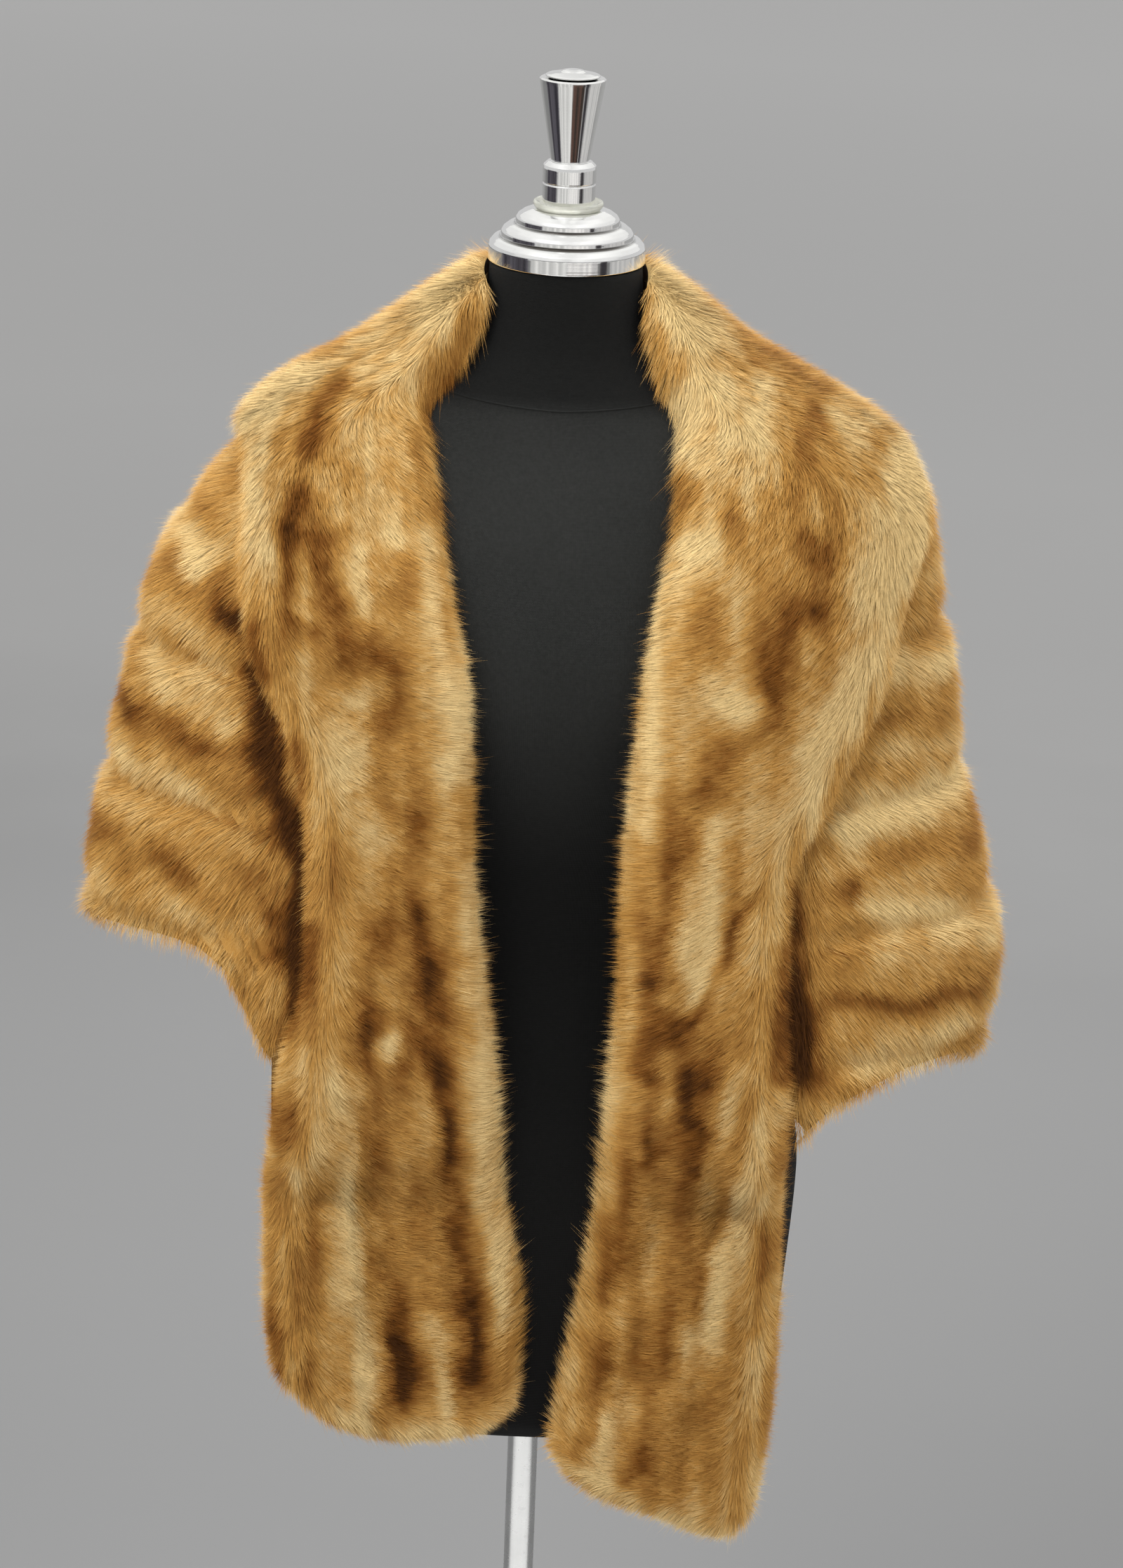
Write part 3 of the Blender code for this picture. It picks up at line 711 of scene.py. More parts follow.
def fur_tree():
    """Hair spread over a pelt: each hair a fine tapering blade that leans along the pelt's lie."""
    tree = bpy.data.node_groups.new("fur", "GeometryNodeTree")
    for name, kind in (("Pelt", "Geometry"), ("Hairs per square metre", "Float"), ("Length", "Float"),
                       ("Width", "Float"), ("Lift", "Float"), ("Locks", "Float"), ("Stray", "Float"),
                       ("Seed", "Int"), ("Finish", "Material")):
        tree.interface.new_socket(name, in_out="INPUT", socket_type="NodeSocket" + kind)
    tree.interface.new_socket("Fur", in_out="OUTPUT", socket_type="NodeSocketGeometry")
    source = tree.nodes.new("NodeGroupInput")
    given = {s.name: Wire(tree, s) for s in source.outputs if s.name}

    def named(name, kind="FLOAT"):
        return node(tree, "GeometryNodeInputNamedAttribute", {"data_type": kind}, {"Name": name})

    def vectors(operation, *values, **more):
        return node(tree, "ShaderNodeVectorMath", {"operation": operation},
                    {**dict(enumerate(values)), **more})

    def chance(seed, low, high, kind="FLOAT"):
        first = 0 if kind == "FLOAT_VECTOR" else 2
        return node(tree, "FunctionNodeRandomValue", {"data_type": kind},
                    {first: low, first + 1: high, "Seed": given["Seed"] + seed},
                    out=0 if kind == "FLOAT_VECTOR" else 1)

    spread = node(tree, "GeometryNodeDistributePointsOnFaces", {"distribute_method": "RANDOM"}, {
        "Mesh": given["Pelt"], "Density": given["Hairs per square metre"] * named("thick"),
        "Seed": given["Seed"]})
    out = Wire(tree, spread.socket.node.outputs["Normal"])
    where = node(tree, "GeometryNodeInputPosition")
    middle = (-0.5, -0.5, -0.5)
    locks = vectors("ADD", noise(tree, where, 95.0, 2, 0.5, out="Color"), middle)
    waves = vectors("ADD", noise(tree, where, 26.0, 1, 0.5, out="Color"), middle)
    way = vectors("ADD", named("lie", "FLOAT_VECTOR"),
                  vectors("SCALE", out, Scale=given["Lift"] * named("rise")))
    tufts = vectors("ADD", noise(tree, where, 250.0, 1, 0.5, out="Color"), middle)
    at_edge = 1 + (named("long") - 1) * 5
    way = vectors("ADD", way, vectors("SCALE", tufts, Scale=given["Locks"] * at_edge))
    way = vectors("ADD", way, vectors("SCALE", locks, Scale=given["Locks"]))
    way = vectors("ADD", way, vectors("SCALE", waves, Scale=given["Locks"] * 0.7))
    way = vectors("ADD", way, vectors("SCALE", chance(1, (-1, -1, -1), (1, 1, 1), "FLOAT_VECTOR"),
                                      Scale=given["Stray"]))
    facing = vectors("ADD", out, chance(2, (-0.45, -0.45, -0.45), (0.45, 0.45, 0.45), "FLOAT_VECTOR"))
    turned_to = node(tree, "FunctionNodeAxesToRotation", {"primary_axis": "Y", "secondary_axis": "Z"},
                     {0: way, 1: facing})
    grown = noise(tree, where, 180.0, 1, 0.5) * 0.9 + 0.55
    draw = chance(6, 0.0, 1.0)
    guard = draw.sum("GREATER_THAN", draw, 0.93)
    long = given["Length"] * named("long") * grown * chance(3, 0.72, 1.15) * (1 + guard * 0.45)
    wide = given["Width"] * chance(4, 0.65, 1.25) * (1 - guard * 0.25)
    points = node(tree, "GeometryNodeStoreNamedAttribute", {"data_type": "FLOAT", "domain": "POINT"},
                  {"Geometry": spread, "Name": "shade", "Value": chance(5, 0.0, 1.0)})
    points = node(tree, "GeometryNodeStoreNamedAttribute", {"data_type": "FLOAT_VECTOR", "domain": "POINT"},
                  {"Geometry": points, "Name": "out", "Value": out})
    one_hair = node(tree, "GeometryNodeObjectInfo", {}, {"Object": blade}, out="Geometry")
    hairs = node(tree, "GeometryNodeInstanceOnPoints", {}, {
        "Points": points, "Instance": one_hair, "Rotation": turned_to,
        "Scale": node(tree, "ShaderNodeCombineXYZ", {}, {0: wide, 1: long, 2: long})})
    solid = node(tree, "GeometryNodeRealizeInstances", {}, {"Geometry": hairs})
    painted = node(tree, "GeometryNodeSetMaterial", {}, {"Geometry": solid, "Material": given["Finish"]})
    end = tree.nodes.new("NodeGroupOutput")
    tree.links.new(painted.socket, end.inputs[0])
    return tree


blade = thing("hair_blade", [(-0.5, 0, 0), (0.5, 0, 0), (0, 1, 0)], [(0, 1, 2)])
blade.data.attributes.new("along", "FLOAT", "POINT").data.foreach_set("value", (0.0, 0.0, 1.0))
fur = fur_tree()


def grow(name, outer, lie, paint, hairs, seams=None, length=12.5, width=0.38, lift=0.62, locks=0.18, stray=0.15,
         thick=1.0, rise=1.0, long=1.0, seed=1):
    """Hair on a grid of points; lie, thick, rise and long are given at each point of it."""
    rows, cols = outer.shape[:2]
    index = np.arange(rows * cols).reshape(rows, cols)
    quads = np.stack((index[:-1, :-1], index[1:, :-1], index[1:, 1:], index[:-1, 1:]), -1).reshape(-1, 4)
    ground = thing(name, metres(outer), quads.tolist(), smooth=False)
    normal = np.cross(grid_way(outer, 0), grid_way(outer, 1)).reshape(-1, 3)
    away = outer.reshape(-1, 3) * (1, 1, 0)
    if (unit(away) * normal).sum() < 0:
        ground.data.flip_normals()
    area = sum(p.area for p in ground.data.polygons)
    values = {"thick": thick, "rise": rise, "long": long}
    for key, value in values.items():
        spread = np.broadcast_to(np.asarray(value, float), (rows, cols)).astype(np.float32)
        ground.data.attributes.new(key, "FLOAT", "POINT").data.foreach_set("value", spread.ravel())
    ground.data.attributes.new("lie", "FLOAT_VECTOR", "POINT").data.foreach_set(
        "vector", unit(lie).astype(np.float32).ravel())
    modifier = ground.modifiers.new("fur", "NODES")
    modifier.node_group = fur
    given = {"Hairs per square metre": hairs / area, "Length": length * MM, "Width": width * MM,
             "Lift": lift, "Locks": locks, "Stray": stray, "Seed": seed, "Finish": hair_finish}
    for socket in fur.interface.items_tree:
        if socket.name in given:
            modifier[socket.identifier] = given[socket.name]
    graph = bpy.context.evaluated_depsgraph_get()
    mesh = bpy.data.meshes.new_from_object(ground.evaluated_get(graph), preserve_all_data_layers=True,
                                           depsgraph=graph)
    ground.modifiers.clear()
    ground.data = mesh
    mesh.name = name
    mesh.shade_smooth()
    count = len(mesh.vertices)
    spots = np.zeros(count * 3, dtype=np.float32)
    mesh.vertices.foreach_get("co", spots)
    spots = spots.reshape(-1, 3, 3).astype(float)
    seen = (spots[:, 0] * 0.35 + spots[:, 2] * 0.65) / MM - (0, 0, FORM_BOTTOM)
    tint = paint(seen)
    if seams:
        tint = np.clip(tint + seams(spots[:, 2] / MM - (0, 0, FORM_BOTTOM)), 0, 1)
    mesh.attributes.new("stripe", "FLOAT", "POINT").data.foreach_set(
        "value", np.repeat(tint, 3).astype(np.float32))
    out = np.zeros(count * 3, dtype=np.float32)
    mesh.attributes["out"].data.foreach_get("vector", out)
    own = np.zeros(count * 3, dtype=np.float32)
    mesh.vertex_normals.foreach_get("vector", own)
    facing = unit(0.82 * out.reshape(-1, 3) + 0.18 * own.reshape(-1, 3))
    mesh.normals_split_custom_set_from_vertices(facing.tolist())
    mesh.attributes.new("facing", "FLOAT_VECTOR", "POINT").data.foreach_set(
        "vector", facing.astype(np.float32).ravel())
    for key in ("thick", "rise", "long", "lie", "out"):
        if key in mesh.attributes:
            mesh.attributes.remove(mesh.attributes[key])
    blades = count // 3
    side = math.ceil(blades ** 0.5)
    cell = np.stack((np.arange(blades) % side, np.arange(blades) // side), axis=-1)[:, None, :]
    corners = np.array([(0.08, 0.08), (0.92, 0.08), (0.5, 0.92)])
    mesh.uv_layers.new(name="OFBake").data.foreach_set("uv", ((cell + corners) / side).ravel())
    return ground


def band(distance, wide):
    """1 at an edge, fading to 0 at a distance in from it."""
    u = np.clip(1 - distance / wide, 0, 1)
    return u * u * (3 - 2 * u)


def hem_height(angle):
    degrees = np.abs(np.degrees(angle))
    left, right = (smooth(degrees, [row[0] for row in HEM], [row[k] for row in HEM]) for k in (1, 2))
    return np.where(angle > 0, right, left)


def cape_angle(s, height):
    """Angle at share s along the cape: -1 at the left front edge, 0 behind, 1 at the right one."""
    edge = np.where(s > 0, column(EDGES, 2, height), column(EDGES, 1, height))
    edge = edge + np.where(edge > 0, SET_BACK, -SET_BACK)
    edge = np.abs(angle_at(edge, height, DRAPE))
    turn = math.pi + (edge - math.pi) * np.abs(s)
    return np.where(s > 0, turn, -turn)


# Rows of skins: the height of each dark middle at the left arm, behind and at the right arm, and
# of each sewn join between two rows.
MIDDLES = [(690, 680, 700), (600, 605, 628), (515, 520, 545), (420, 430, 446), (322, 345, 350)]
JOINS = [(645, 645, 665), (560, 563, 590), (462, 475, 484), (372, 388, 394), (280, 300, 300)]
# Strokes of colour: path in x and height, half width, strength; below nought is paler. Most are the skins' own
# marks; the strong dark ones beside the collar's outer edges are painted shadow in the gaps there.
CAPE_STROKES = [
    ([(-222, 526), (-222, 510)], 9, 0.24),
    ([(-182, 478), (-180, 456)], 9, 0.26),
    ([(-152, 422), (-152, 404)], 9, 0.28),
    ([(166, 422), (167, 402)], 9, 0.28),
    ([(236, 400), (234, 386)], 10, -0.26),
    ([(-284, 508), (-256, 500)], 9, 0.28),
    ([(-194, 506), (-190, 484)], 10, 0.32),
    ([(-182, 396), (-178, 372)], 10, 0.32),
    ([(282, 474), (256, 468)], 10, -0.26),
    # Painted shadow in the gaps beside the collar's outer edges, left and right.
    ([(-197, 592), (-186, 564)], 12, 0.5),
    ([(-152, 392), (-158, 340)], 10, 0.4),
    ([(166, 354), (170, 300)], 12, 0.5),
    ([(228, 690), (226, 650), (214, 636)], 12, -0.4),
    ([(262, 562), (262, 550)], 13, -0.38),
    ([(222, 474), (214, 452)], 12, -0.36),
    ([(212, 428), (210, 412)], 9, 0.34),
    # Painted shadow down the valley beside the left collar's outer edge.
    ([(-206, 602), (-192, 578), (-188, 540), (-180, 500), (-166, 470), (-160, 430), (-160, 370),
      (-166, 335)], 15, 0.34),
    ([(-198, 596), (-188, 565), (-184, 520), (-175, 490), (-165, 460), (-159, 420), (-159, 370),
      (-163, 330)], 8, 0.75),
    ([(-246, 611), (-225, 602), (-208, 592)], 10, 0.28),
    ([(-290, 516), (-262, 518), (-240, 510), (-215, 500), (-195, 500)], 10, 0.34),
    ([(-314, 420), (-290, 422), (-262, 418), (-240, 415)], 11, 0.34),
    ([(-230, 411), (-200, 405), (-180, 400)], 13, 0.15),
    ([(-252, 632), (-240, 627)], 15, -0.34),
    ([(-256, 545), (-230, 538), (-208, 522)], 14, -0.24),
    ([(-242, 390), (-224, 377)], 13, -0.18),
    ([(-300, 450), (-268, 445)], 9, -0.10),
    # Painted shadow in the gap beside the right collar's outer edge and the right front.
    ([(243, 692), (242, 650), (235, 615), (222, 580), (205, 540), (190, 510), (172, 480), (160, 450)],
     6, 0.20),
    ([(158, 455), (156, 400), (157, 350), (164, 318), (170, 296)], 14, 0.42),
    ([(164, 356), (178, 332), (182, 300)], 15, 0.55),
    ([(264, 546), (250, 545), (230, 538), (214, 534)], 10, 0.22),
    ([(302, 440), (275, 448), (255, 450), (235, 440), (215, 445), (200, 424)], 12, 0.27),
    ([(303, 336), (285, 338), (262, 337), (235, 343), (205, 348)], 9, 0.42),
    ([(308, 372), (295, 382), (270, 392)], 11, -0.30),
    ([(272, 484), (250, 484), (228, 476), (206, 464)], 12, -0.42),
    ([(272, 402), (250, 396), (224, 406)], 11, -0.15),
    ([(292, 312), (250, 300), (214, 306)], 13, -0.15),
    ([(235, 570)], 9, -0.12),
    ([(-285, 480), (-262, 478), (-235, 470)], 11, -0.14),
]
CAPE_SEAMS = [
    [(-249, 563), (-229, 554), (-212, 547), (-200, 535)],
    [(-239, 457), (-215, 455), (-197, 450), (-181, 438)],
    [(183, 472), (205, 478), (230, 483), (252, 488)],
    [(166, 370), (188, 375), (200, 380), (217, 379), (230, 380), (246, 382)],
]


def row_height(row, turn):
    left, back, right = row
    side = np.where(turn > 0, right, left)
    return back + (side - back) * np.clip(2 - np.abs(turn) / (math.pi / 2), 0, 1)


def cape_paint(points):
    turn = np.arctan2(points[..., 0], -points[..., 1])
    moved = points + 4 * np.stack([ripple(points, 40, k) for k in (11, 12, 19)], axis=-1)
    total = 0.34 + 0.10 * ripple(points * (0.5, 0.5, 1), 30, 13) + 0.05 * ripple(points, 9, 14)
    front = 1 / (1 + np.exp((points[..., 1] - 4) / 9))
    for path, width, strength in CAPE_STROKES:
        total = total + front * stroke(moved, path, width, strength)
    for row in MIDDLES:
        away = (moved[..., 2] - row_height(row, turn)) / (11 + 2 * ripple(points, 80, 15))
        total = total + (1 - front) * 0.38 * np.exp(-away ** 2) * (0.8 + 0.4 * ripple(points, 70, 16))
    for row in JOINS:
        away = (points[..., 2] + 1.5 * ripple(points, 50, 17) - row_height(row, turn))
        total = total + (1 - front) * (0.28 * np.exp(-(away / 1.6) ** 2) - 0.10 * np.exp(-(away / 20) ** 2))
    return np.clip(total, 0, 1)


def cape_seams(tips):
    """The sewn joins, where the hair's tips open and the dark ground shows in a broken line."""
    total = 0.0
    for path in CAPE_SEAMS:
        worn = np.clip(0.65 + 0.5 * ripple(tips, 14, 20), 0, 1)
        total = total + stroke(tips + 0.7 * ripple(tips, 12, 10)[..., None], path, 1.5, 0.5) * worn
    return total * (tips[..., 1] < 10)


def cape_grids():
    s = np.concatenate((np.linspace(-1, -0.7, 34)[:-1], np.linspace(-0.7, 0.7, 120),
                        np.linspace(0.7, 1, 34)[1:]))
    v = np.concatenate((np.linspace(0, 0.06, 5)[:-1], np.linspace(0.06, 0.94, 62), [0.955, 0.97, 0.982, 0.992, 1]))
    s, v = np.meshgrid(s, v, indexing="ij")
    height = np.full(s.shape, CAPE_TOP)
    set_up = smooth(np.abs(s), [0.8, 0.88, 0.93, 0.98], [7, 4, 12, 28])
    for _ in range(12):
        hem = hem_height(cape_angle(s, height))
        height = CAPE_TOP + (hem + set_up - CAPE_TOP) * v
    angle = cape_angle(s, height)
    run = CAPE_TOP - height
    puff = np.zeros(s.shape)
    for row in JOINS:
        puff = puff - 15 * np.exp(-((height - row_height(row, angle)) / 9) ** 2)
    base = PELT + 2.5 + puff * np.clip(run / 160, 0, 1) * (np.abs(s) < 0.8)
    hem_in = (1 - v) * (CAPE_TOP - hem)
    thick = base * rounding(hem_in, 12, 0.35)
    thick = np.where(run < 110, PELT * rounding(run, 14, 0.35), thick)
    front_in = (1 - np.abs(s)) * 400
    thick = np.where(np.abs(s) > 0.73, np.minimum(thick, PELT) * rounding(front_in, 12, 0.5), thick)
    inner = drape(angle, height, 0.4)
    swell = 0.7 * ripple(inner, 45, 18)
    outer = drape(angle, height, 1.5 + (thick - 1.5) * 0.52 + swell * (hem_in > 20))
    return s, v, hem_in, inner, outer


s, v, hem_in, inner, outer = cape_grids()
cape = pelt("cape_pelt", inner, outer, cape_paint)
down = grid_way(outer, 1)
back_way = grid_way(outer, 0) * -np.clip(s / 0.22, -1, 1)[..., None]
hem_band = band(hem_in, 22)[..., None]
lie = down * (0.85 + 0.6 * hem_band) + back_way * 0.62 * (1 - 0.6 * hem_band)
cape_fur = []
for name, keep, hairs, seed in (("cape_fur_left", (-1, -0.36), 122000, 21),
                                ("cape_fur_back", (-0.36, 0.36), 82000, 22),
                                ("cape_fur_right", (0.36, 1), 122000, 23)):
    rows = [int(np.abs(s[:, 0] - end).argmin()) for end in keep]
    cut = slice(rows[0], rows[1] + 1)
    cape_fur.append(grow(name, outer[cut], lie[cut], cape_paint, hairs, cape_seams, seed=seed,
                         thick=np.where(np.abs(s[cut]) > 0.87, 0.25, 1.0),
                         rise=1 - 0.35 * band(hem_in[cut], 16)))


# Collar: a wide shawl collar of the same mink, cut in one with the fronts' upper parts, turned
# down all round over the cape and caught to the neck edge; its strips run along its length.
# The outside of the collar. Columns as for the drape.
COLLAR_OUT = [
    (250, 334, 336, 160, 150),
    (345, 338, 334, 161, 152),
    (460, 322, 308, 162, 152),
    (580, 296, 288, 160, 150),
    (640, 272, 276, 150, 147),
    (665, 252, 268, 139, 140),
    (680, 238, 256, 132, 136),
    (700, 224, 239, 121, 129),
    (717, 209, 220, 112, 122),
    (738, 190, 191, 101, 115),
    (753, 157, 164, 92, 108),
    (773, 127, 128, 82, 99),
    (790, 107, 106, 74, 90),
    (803, 92, 90, 66, 80),
    (814, 74, 74, 58, 68),
    (820, 60, 60, 54, 58),
]
# Columns: share from the middle of the back to the end, height of the fold or inner edge,
# share of the way round the neck, outer height left, outer angle left, right the same.
COLLAR_ROWS = [
    (0.0, 815, 1.0, 640, 180, 636, 180),
    (0.1, 815, 0.74, 645, 150, 640, 150),
    (0.2, 815, 0.48, 660, 122, 654, 122),
    (0.3, 813, 0.23, 680, 102, 674, 104),
    (0.42, 800, 0.0, 686, 86, 684, 90),
    (0.5, 748, 0.0, 666, 74, 654, 79),
    (0.58, 690, 0.0, 622, 68, 612, 72),
    (0.66, 630, 0.0, 570, 63, 556, 67),
    (0.74, 560, 0.0, 508, 56, 492, 60),
    (0.82, 480, 0.0, 440, 54, 430, 54.5),
    (0.91, 390, 0.0, 368, 54, 366, 54.5),
    (1.0, 300.2, 0.0, 300.2, 58, 300.2, 55.5),
]
OVER_CAPE = PELT + 4.8
# The cape's thickness is stepped over close behind the collar's inner edge and below its fold.
EDGE_AT, EDGE_LIFT = [0, 8, 20, 30], [0.2, 3.0, OVER_CAPE, OVER_CAPE]
NECK_AT, NECK_LIFT = [600, 752, 768, 790, 820], [OVER_CAPE, OVER_CAPE, 12.0, 1.5, 0.2]
# Strokes of colour: path in x and height, half width, strength; below nought is paler. Most are the skins' own
# marks; a few are painted shade and light, as marked.
COLLAR_STROKES = [
    # Painted light along the top of the left shoulder.
    ([(-204, 712), (-186, 738), (-160, 764), (-130, 776)], 15, -0.30),
    ([(-57, 804), (-54, 786)], 9, 0.22),
    ([(-123, 660), (-123, 642)], 10, 0.20),
    ([(-134, 618), (-130, 600), (-106, 578)], 10, 0.22),
    ([(-160, 620), (-161, 602)], 9, 0.24),
    ([(-126, 494), (-120, 480)], 10, 0.20),
    ([(60, 802), (62, 788)], 9, 0.22),
    ([(128, 748), (124, 734)], 10, -0.22),
    ([(-74, 674), (-69, 650)], 8, 0.32),
    ([(-194, 672), (-184, 648)], 12, -0.30),
    ([(-162, 656), (-160, 640)], 8, 0.24),
    ([(-163, 520), (-163, 500)], 8, 0.26),
    ([(-62, 812), (-84, 796)], 17, -0.26),
    ([(62, 812), (80, 796)], 17, -0.26),
    ([(79, 742), (77, 716)], 11, -0.28),
    ([(140, 574), (138, 556)], 8, 0.24),
    # Painted shadow in the gap beside the left collar's outer edge.
    ([(-196, 594), (-186, 566)], 8, 0.55),
    ([(232, 706), (228, 660), (214, 632)], 13, -0.42),
    ([(202, 590), (192, 560), (174, 532)], 9, -0.30),
    ([(124, 562), (124, 548)], 10, -0.28),
    ([(-80, 790), (-100, 745), (-115, 700), (-120, 655)], 22, -0.12),
    ([(-142, 765), (-152, 740), (-160, 712)], 9, 0.28),
    ([(-163, 690), (-169, 670), (-169, 650), (-168, 630)], 8, 0.34),
    ([(-156, 680), (-149, 655), (-143, 625)], 9, 0.26),
    ([(-160, 700)], 10, -0.12),
    ([(-182, 680), (-176, 655)], 11, 0.14),
    ([(-160, 640), (-158, 615)], 5, -0.20),
    # Painted shade at the left inner edge beside the neck.
    ([(-64, 780), (-72, 752)], 9, 0.24),
    ([(-74, 745), (-88, 722), (-98, 700)], 8, 0.24),
    ([(-100, 655), (-98, 640), (-100, 625)], 9, 0.24),
    ([(-150, 602), (-125, 602), (-112, 600)], 11, 0.14),
    ([(-140, 585), (-120, 578)], 9, 0.16),
    ([(-128, 655), (-126, 635), (-124, 618)], 9, -0.20),
    ([(-92, 664), (-78, 662)], 9, -0.22),
    ([(-76, 645), (-70, 600), (-65, 560), (-60, 510)], 10, -0.22),
    ([(-102, 592), (-100, 570), (-98, 550)], 8, 0.28),
    ([(-118, 566)], 12, -0.18),
    ([(-140, 530), (-133, 505)], 15, -0.13),
    ([(-112, 550), (-95, 530), (-86, 505), (-84, 470)], 14, 0.13),
    ([(-88, 485), (-92, 455), (-85, 425)], 9, 0.26),
    ([(-122, 480), (-104, 470)], 15, -0.18),
    ([(-80, 412), (-76, 394), (-70, 376)], 11, 0.58),
    ([(-106, 408), (-100, 385)], 9, 0.26),
    ([(-82, 365), (-62, 352)], 10, 0.34),
    ([(-108, 356), (-110, 325)], 11, 0.20),
    ([(-82, 336), (-70, 312)], 9, 0.28),
    ([(-97, 322), (-98, 308)], 6, -0.42),
    ([(-50, 440), (-46, 400), (-40, 350), (-34, 310)], 8, -0.18),
    ([(75, 800), (90, 760), (110, 730), (122, 712)], 22, -0.14),
    ([(103, 752)], 8, -0.20),
    ([(108, 728)], 8, -0.20),
    ([(183, 736), (196, 726)], 10, -0.16),
    ([(118, 790), (127, 782)], 7, 0.42),
    ([(124, 776), (140, 764)], 9, 0.20),
    ([(150, 762), (164, 754), (176, 744)], 10, 0.14),
    ([(168, 734), (170, 718), (171, 704)], 9, 0.26),
    ([(82, 695)], 9, 0.14),
    ([(84, 668), (96, 663)], 10, -0.24),
    ([(114, 682), (120, 668)], 10, 0.14),
    ([(157, 668), (168, 656)], 7, 0.28),
    ([(160, 624), (151, 608), (149, 590), (144, 570), (136, 556), (130, 545)], 12, 0.44),
    ([(116, 532), (102, 516), (96, 500)], 11, 0.20),
    ([(103, 506)], 7, 0.20),
    ([(86, 478), (82, 460), (82, 440), (79, 415)], 8, 0.32),
    ([(106, 578), (130, 562)], 14, -0.15),
    ([(226, 645), (214, 600), (200, 560), (184, 520), (165, 490), (150, 470)], 12, -0.12),
    ([(160, 525), (148, 488)], 13, -0.12),
    ([(72, 640), (68, 580), (65, 530), (62, 480)], 10, -0.16),
    ([(112, 482), (105, 440), (103, 410), (100, 385), (97, 362)], 10, -0.24),
    # Painted shade along the crease in the right front.
    ([(142, 432), (126, 410), (115, 385), (104, 352)], 5, 0.36),
    ([(76, 400), (82, 376)], 10, 0.5),
    ([(78, 372), (77, 340), (74, 305)], 9, 0.30),
    ([(106, 350), (103, 320), (102, 300)], 11, 0.28),
    ([(138, 385), (135, 345), (138, 305)], 11, -0.08),
]


# The same on the fronts below the collar, where the strips hang straight down.
PANEL_STROKES = [
    ([(-60, 340), (-60, 318)], 8, 0.24),
    ([(-93, 302), (-93, 282)], 9, 0.24),
    ([(-148, 62), (-148, 42)], 9, 0.24),
    ([(116, 412), (114, 394)], 9, 0.24),
    ([(164, 250), (164, 232)], 8, -0.22),
    ([(168, 168), (168, 140)], 8, 0.24),
    ([(118, 140), (118, 122)], 9, 0.22),
    ([(-112, 396), (-110, 380)], 9, 0.26),
    ([(-174, 86), (-172, 48)], 8, 0.28),
    ([(160, 390), (162, 372)], 9, 0.28),
    ([(126, 328), (124, 308)], 9, 0.24),
    ([(146, 280), (144, 256)], 9, 0.28),
    ([(90, 266), (88, 246)], 8, 0.30),
    ([(73, 256), (71, 234)], 7, 0.28),
    ([(113, 256), (111, 232)], 8, 0.28),
    ([(58, 74), (56, 50)], 8, 0.28),
    ([(-150, 392), (-156, 346), (-163, 322)], 9, 0.42),
    ([(-106, 334), (-102, 312)], 9, 0.38),
    ([(-50, 262), (-46, 236)], 8, 0.38),
    ([(92, 352), (90, 334)], 8, 0.34),
    ([(112, 294), (108, 270)], 9, 0.38),
    ([(166, 356), (168, 300)], 9, 0.60),
    ([(176, 250), (174, 226)], 8, 0.42),
    ([(-112, 300), (-110, 262), (-105, 200), (-102, 170), (-94, 135), (-86, 95), (-76, 50)], 8, 0.36),
    ([(-83, 88), (-74, 44)], 13, 0.42),
    ([(-62, 302), (-57, 270), (-53, 240), (-50, 200), (-44, 155), (-36, 110), (-32, 70)], 7, 0.42),
    ([(-38, 120), (-32, 60)], 13, 0.34),
    ([(-70, 312), (-60, 295)], 9, 0.18),
    ([(-78, 205), (-72, 155), (-68, 120)], 10, 0.16),
    ([(-88, 262), (-83, 180)], 7, 0.12),
    ([(-66, 112), (-58, 80), (-54, 40)], 7, -0.20),
    ([(-125, 290), (-122, 200), (-118, 120), (-112, 45)], 12, -0.18),
    ([(-150, 300), (-150, 235)], 7, 0.14),
    ([(-151, 190), (-150, 120), (-147, 60), (-142, 32)], 8, 0.24),
    ([(-176, 262), (-174, 235)], 10, 0.34),
    ([(-178, 200), (-176, 130), (-173, 75)], 7, 0.26),
    ([(-36, 295), (-30, 250), (-25, 200), (-20, 150), (-14, 108)], 9, -0.20),
    ([(-122, 20), (-80, 10), (-30, 18)], 9, -0.18),
    ([(75, 302), (73, 270), (70, 250), (62, 200), (60, 160), (55, 128)], 8, 0.28),
    ([(72, 264)], 10, 0.18),
    ([(51, 92), (45, 60), (42, 30), (38, 4)], 10, 0.36),
    ([(101, 302), (105, 240), (104, 190), (100, 150), (92, 110), (88, 70), (84, 30), (78, -5)], 9, 0.30),
    ([(78, 0), (76, -12)], 9, 0.26),
    ([(133, 248), (128, 200), (124, 168)], 6, 0.22),
    ([(119, 32), (112, -20)], 13, 0.16),
    ([(151, 92), (140, 60), (126, 32)], 10, 0.15),
    ([(151, 275), (143, 230), (140, 180), (128, 130), (117, 88)], 9, -0.22),
    ([(150, 264)], 9, -0.14),
    ([(62, 62), (58, 20), (52, -10)], 8, -0.22),
    ([(46, 285), (42, 220), (38, 170), (32, 120), (24, 68)], 9, -0.15),
    ([(30, -2), (60, -24), (110, -62), (146, -70)], 9, -0.22),
]


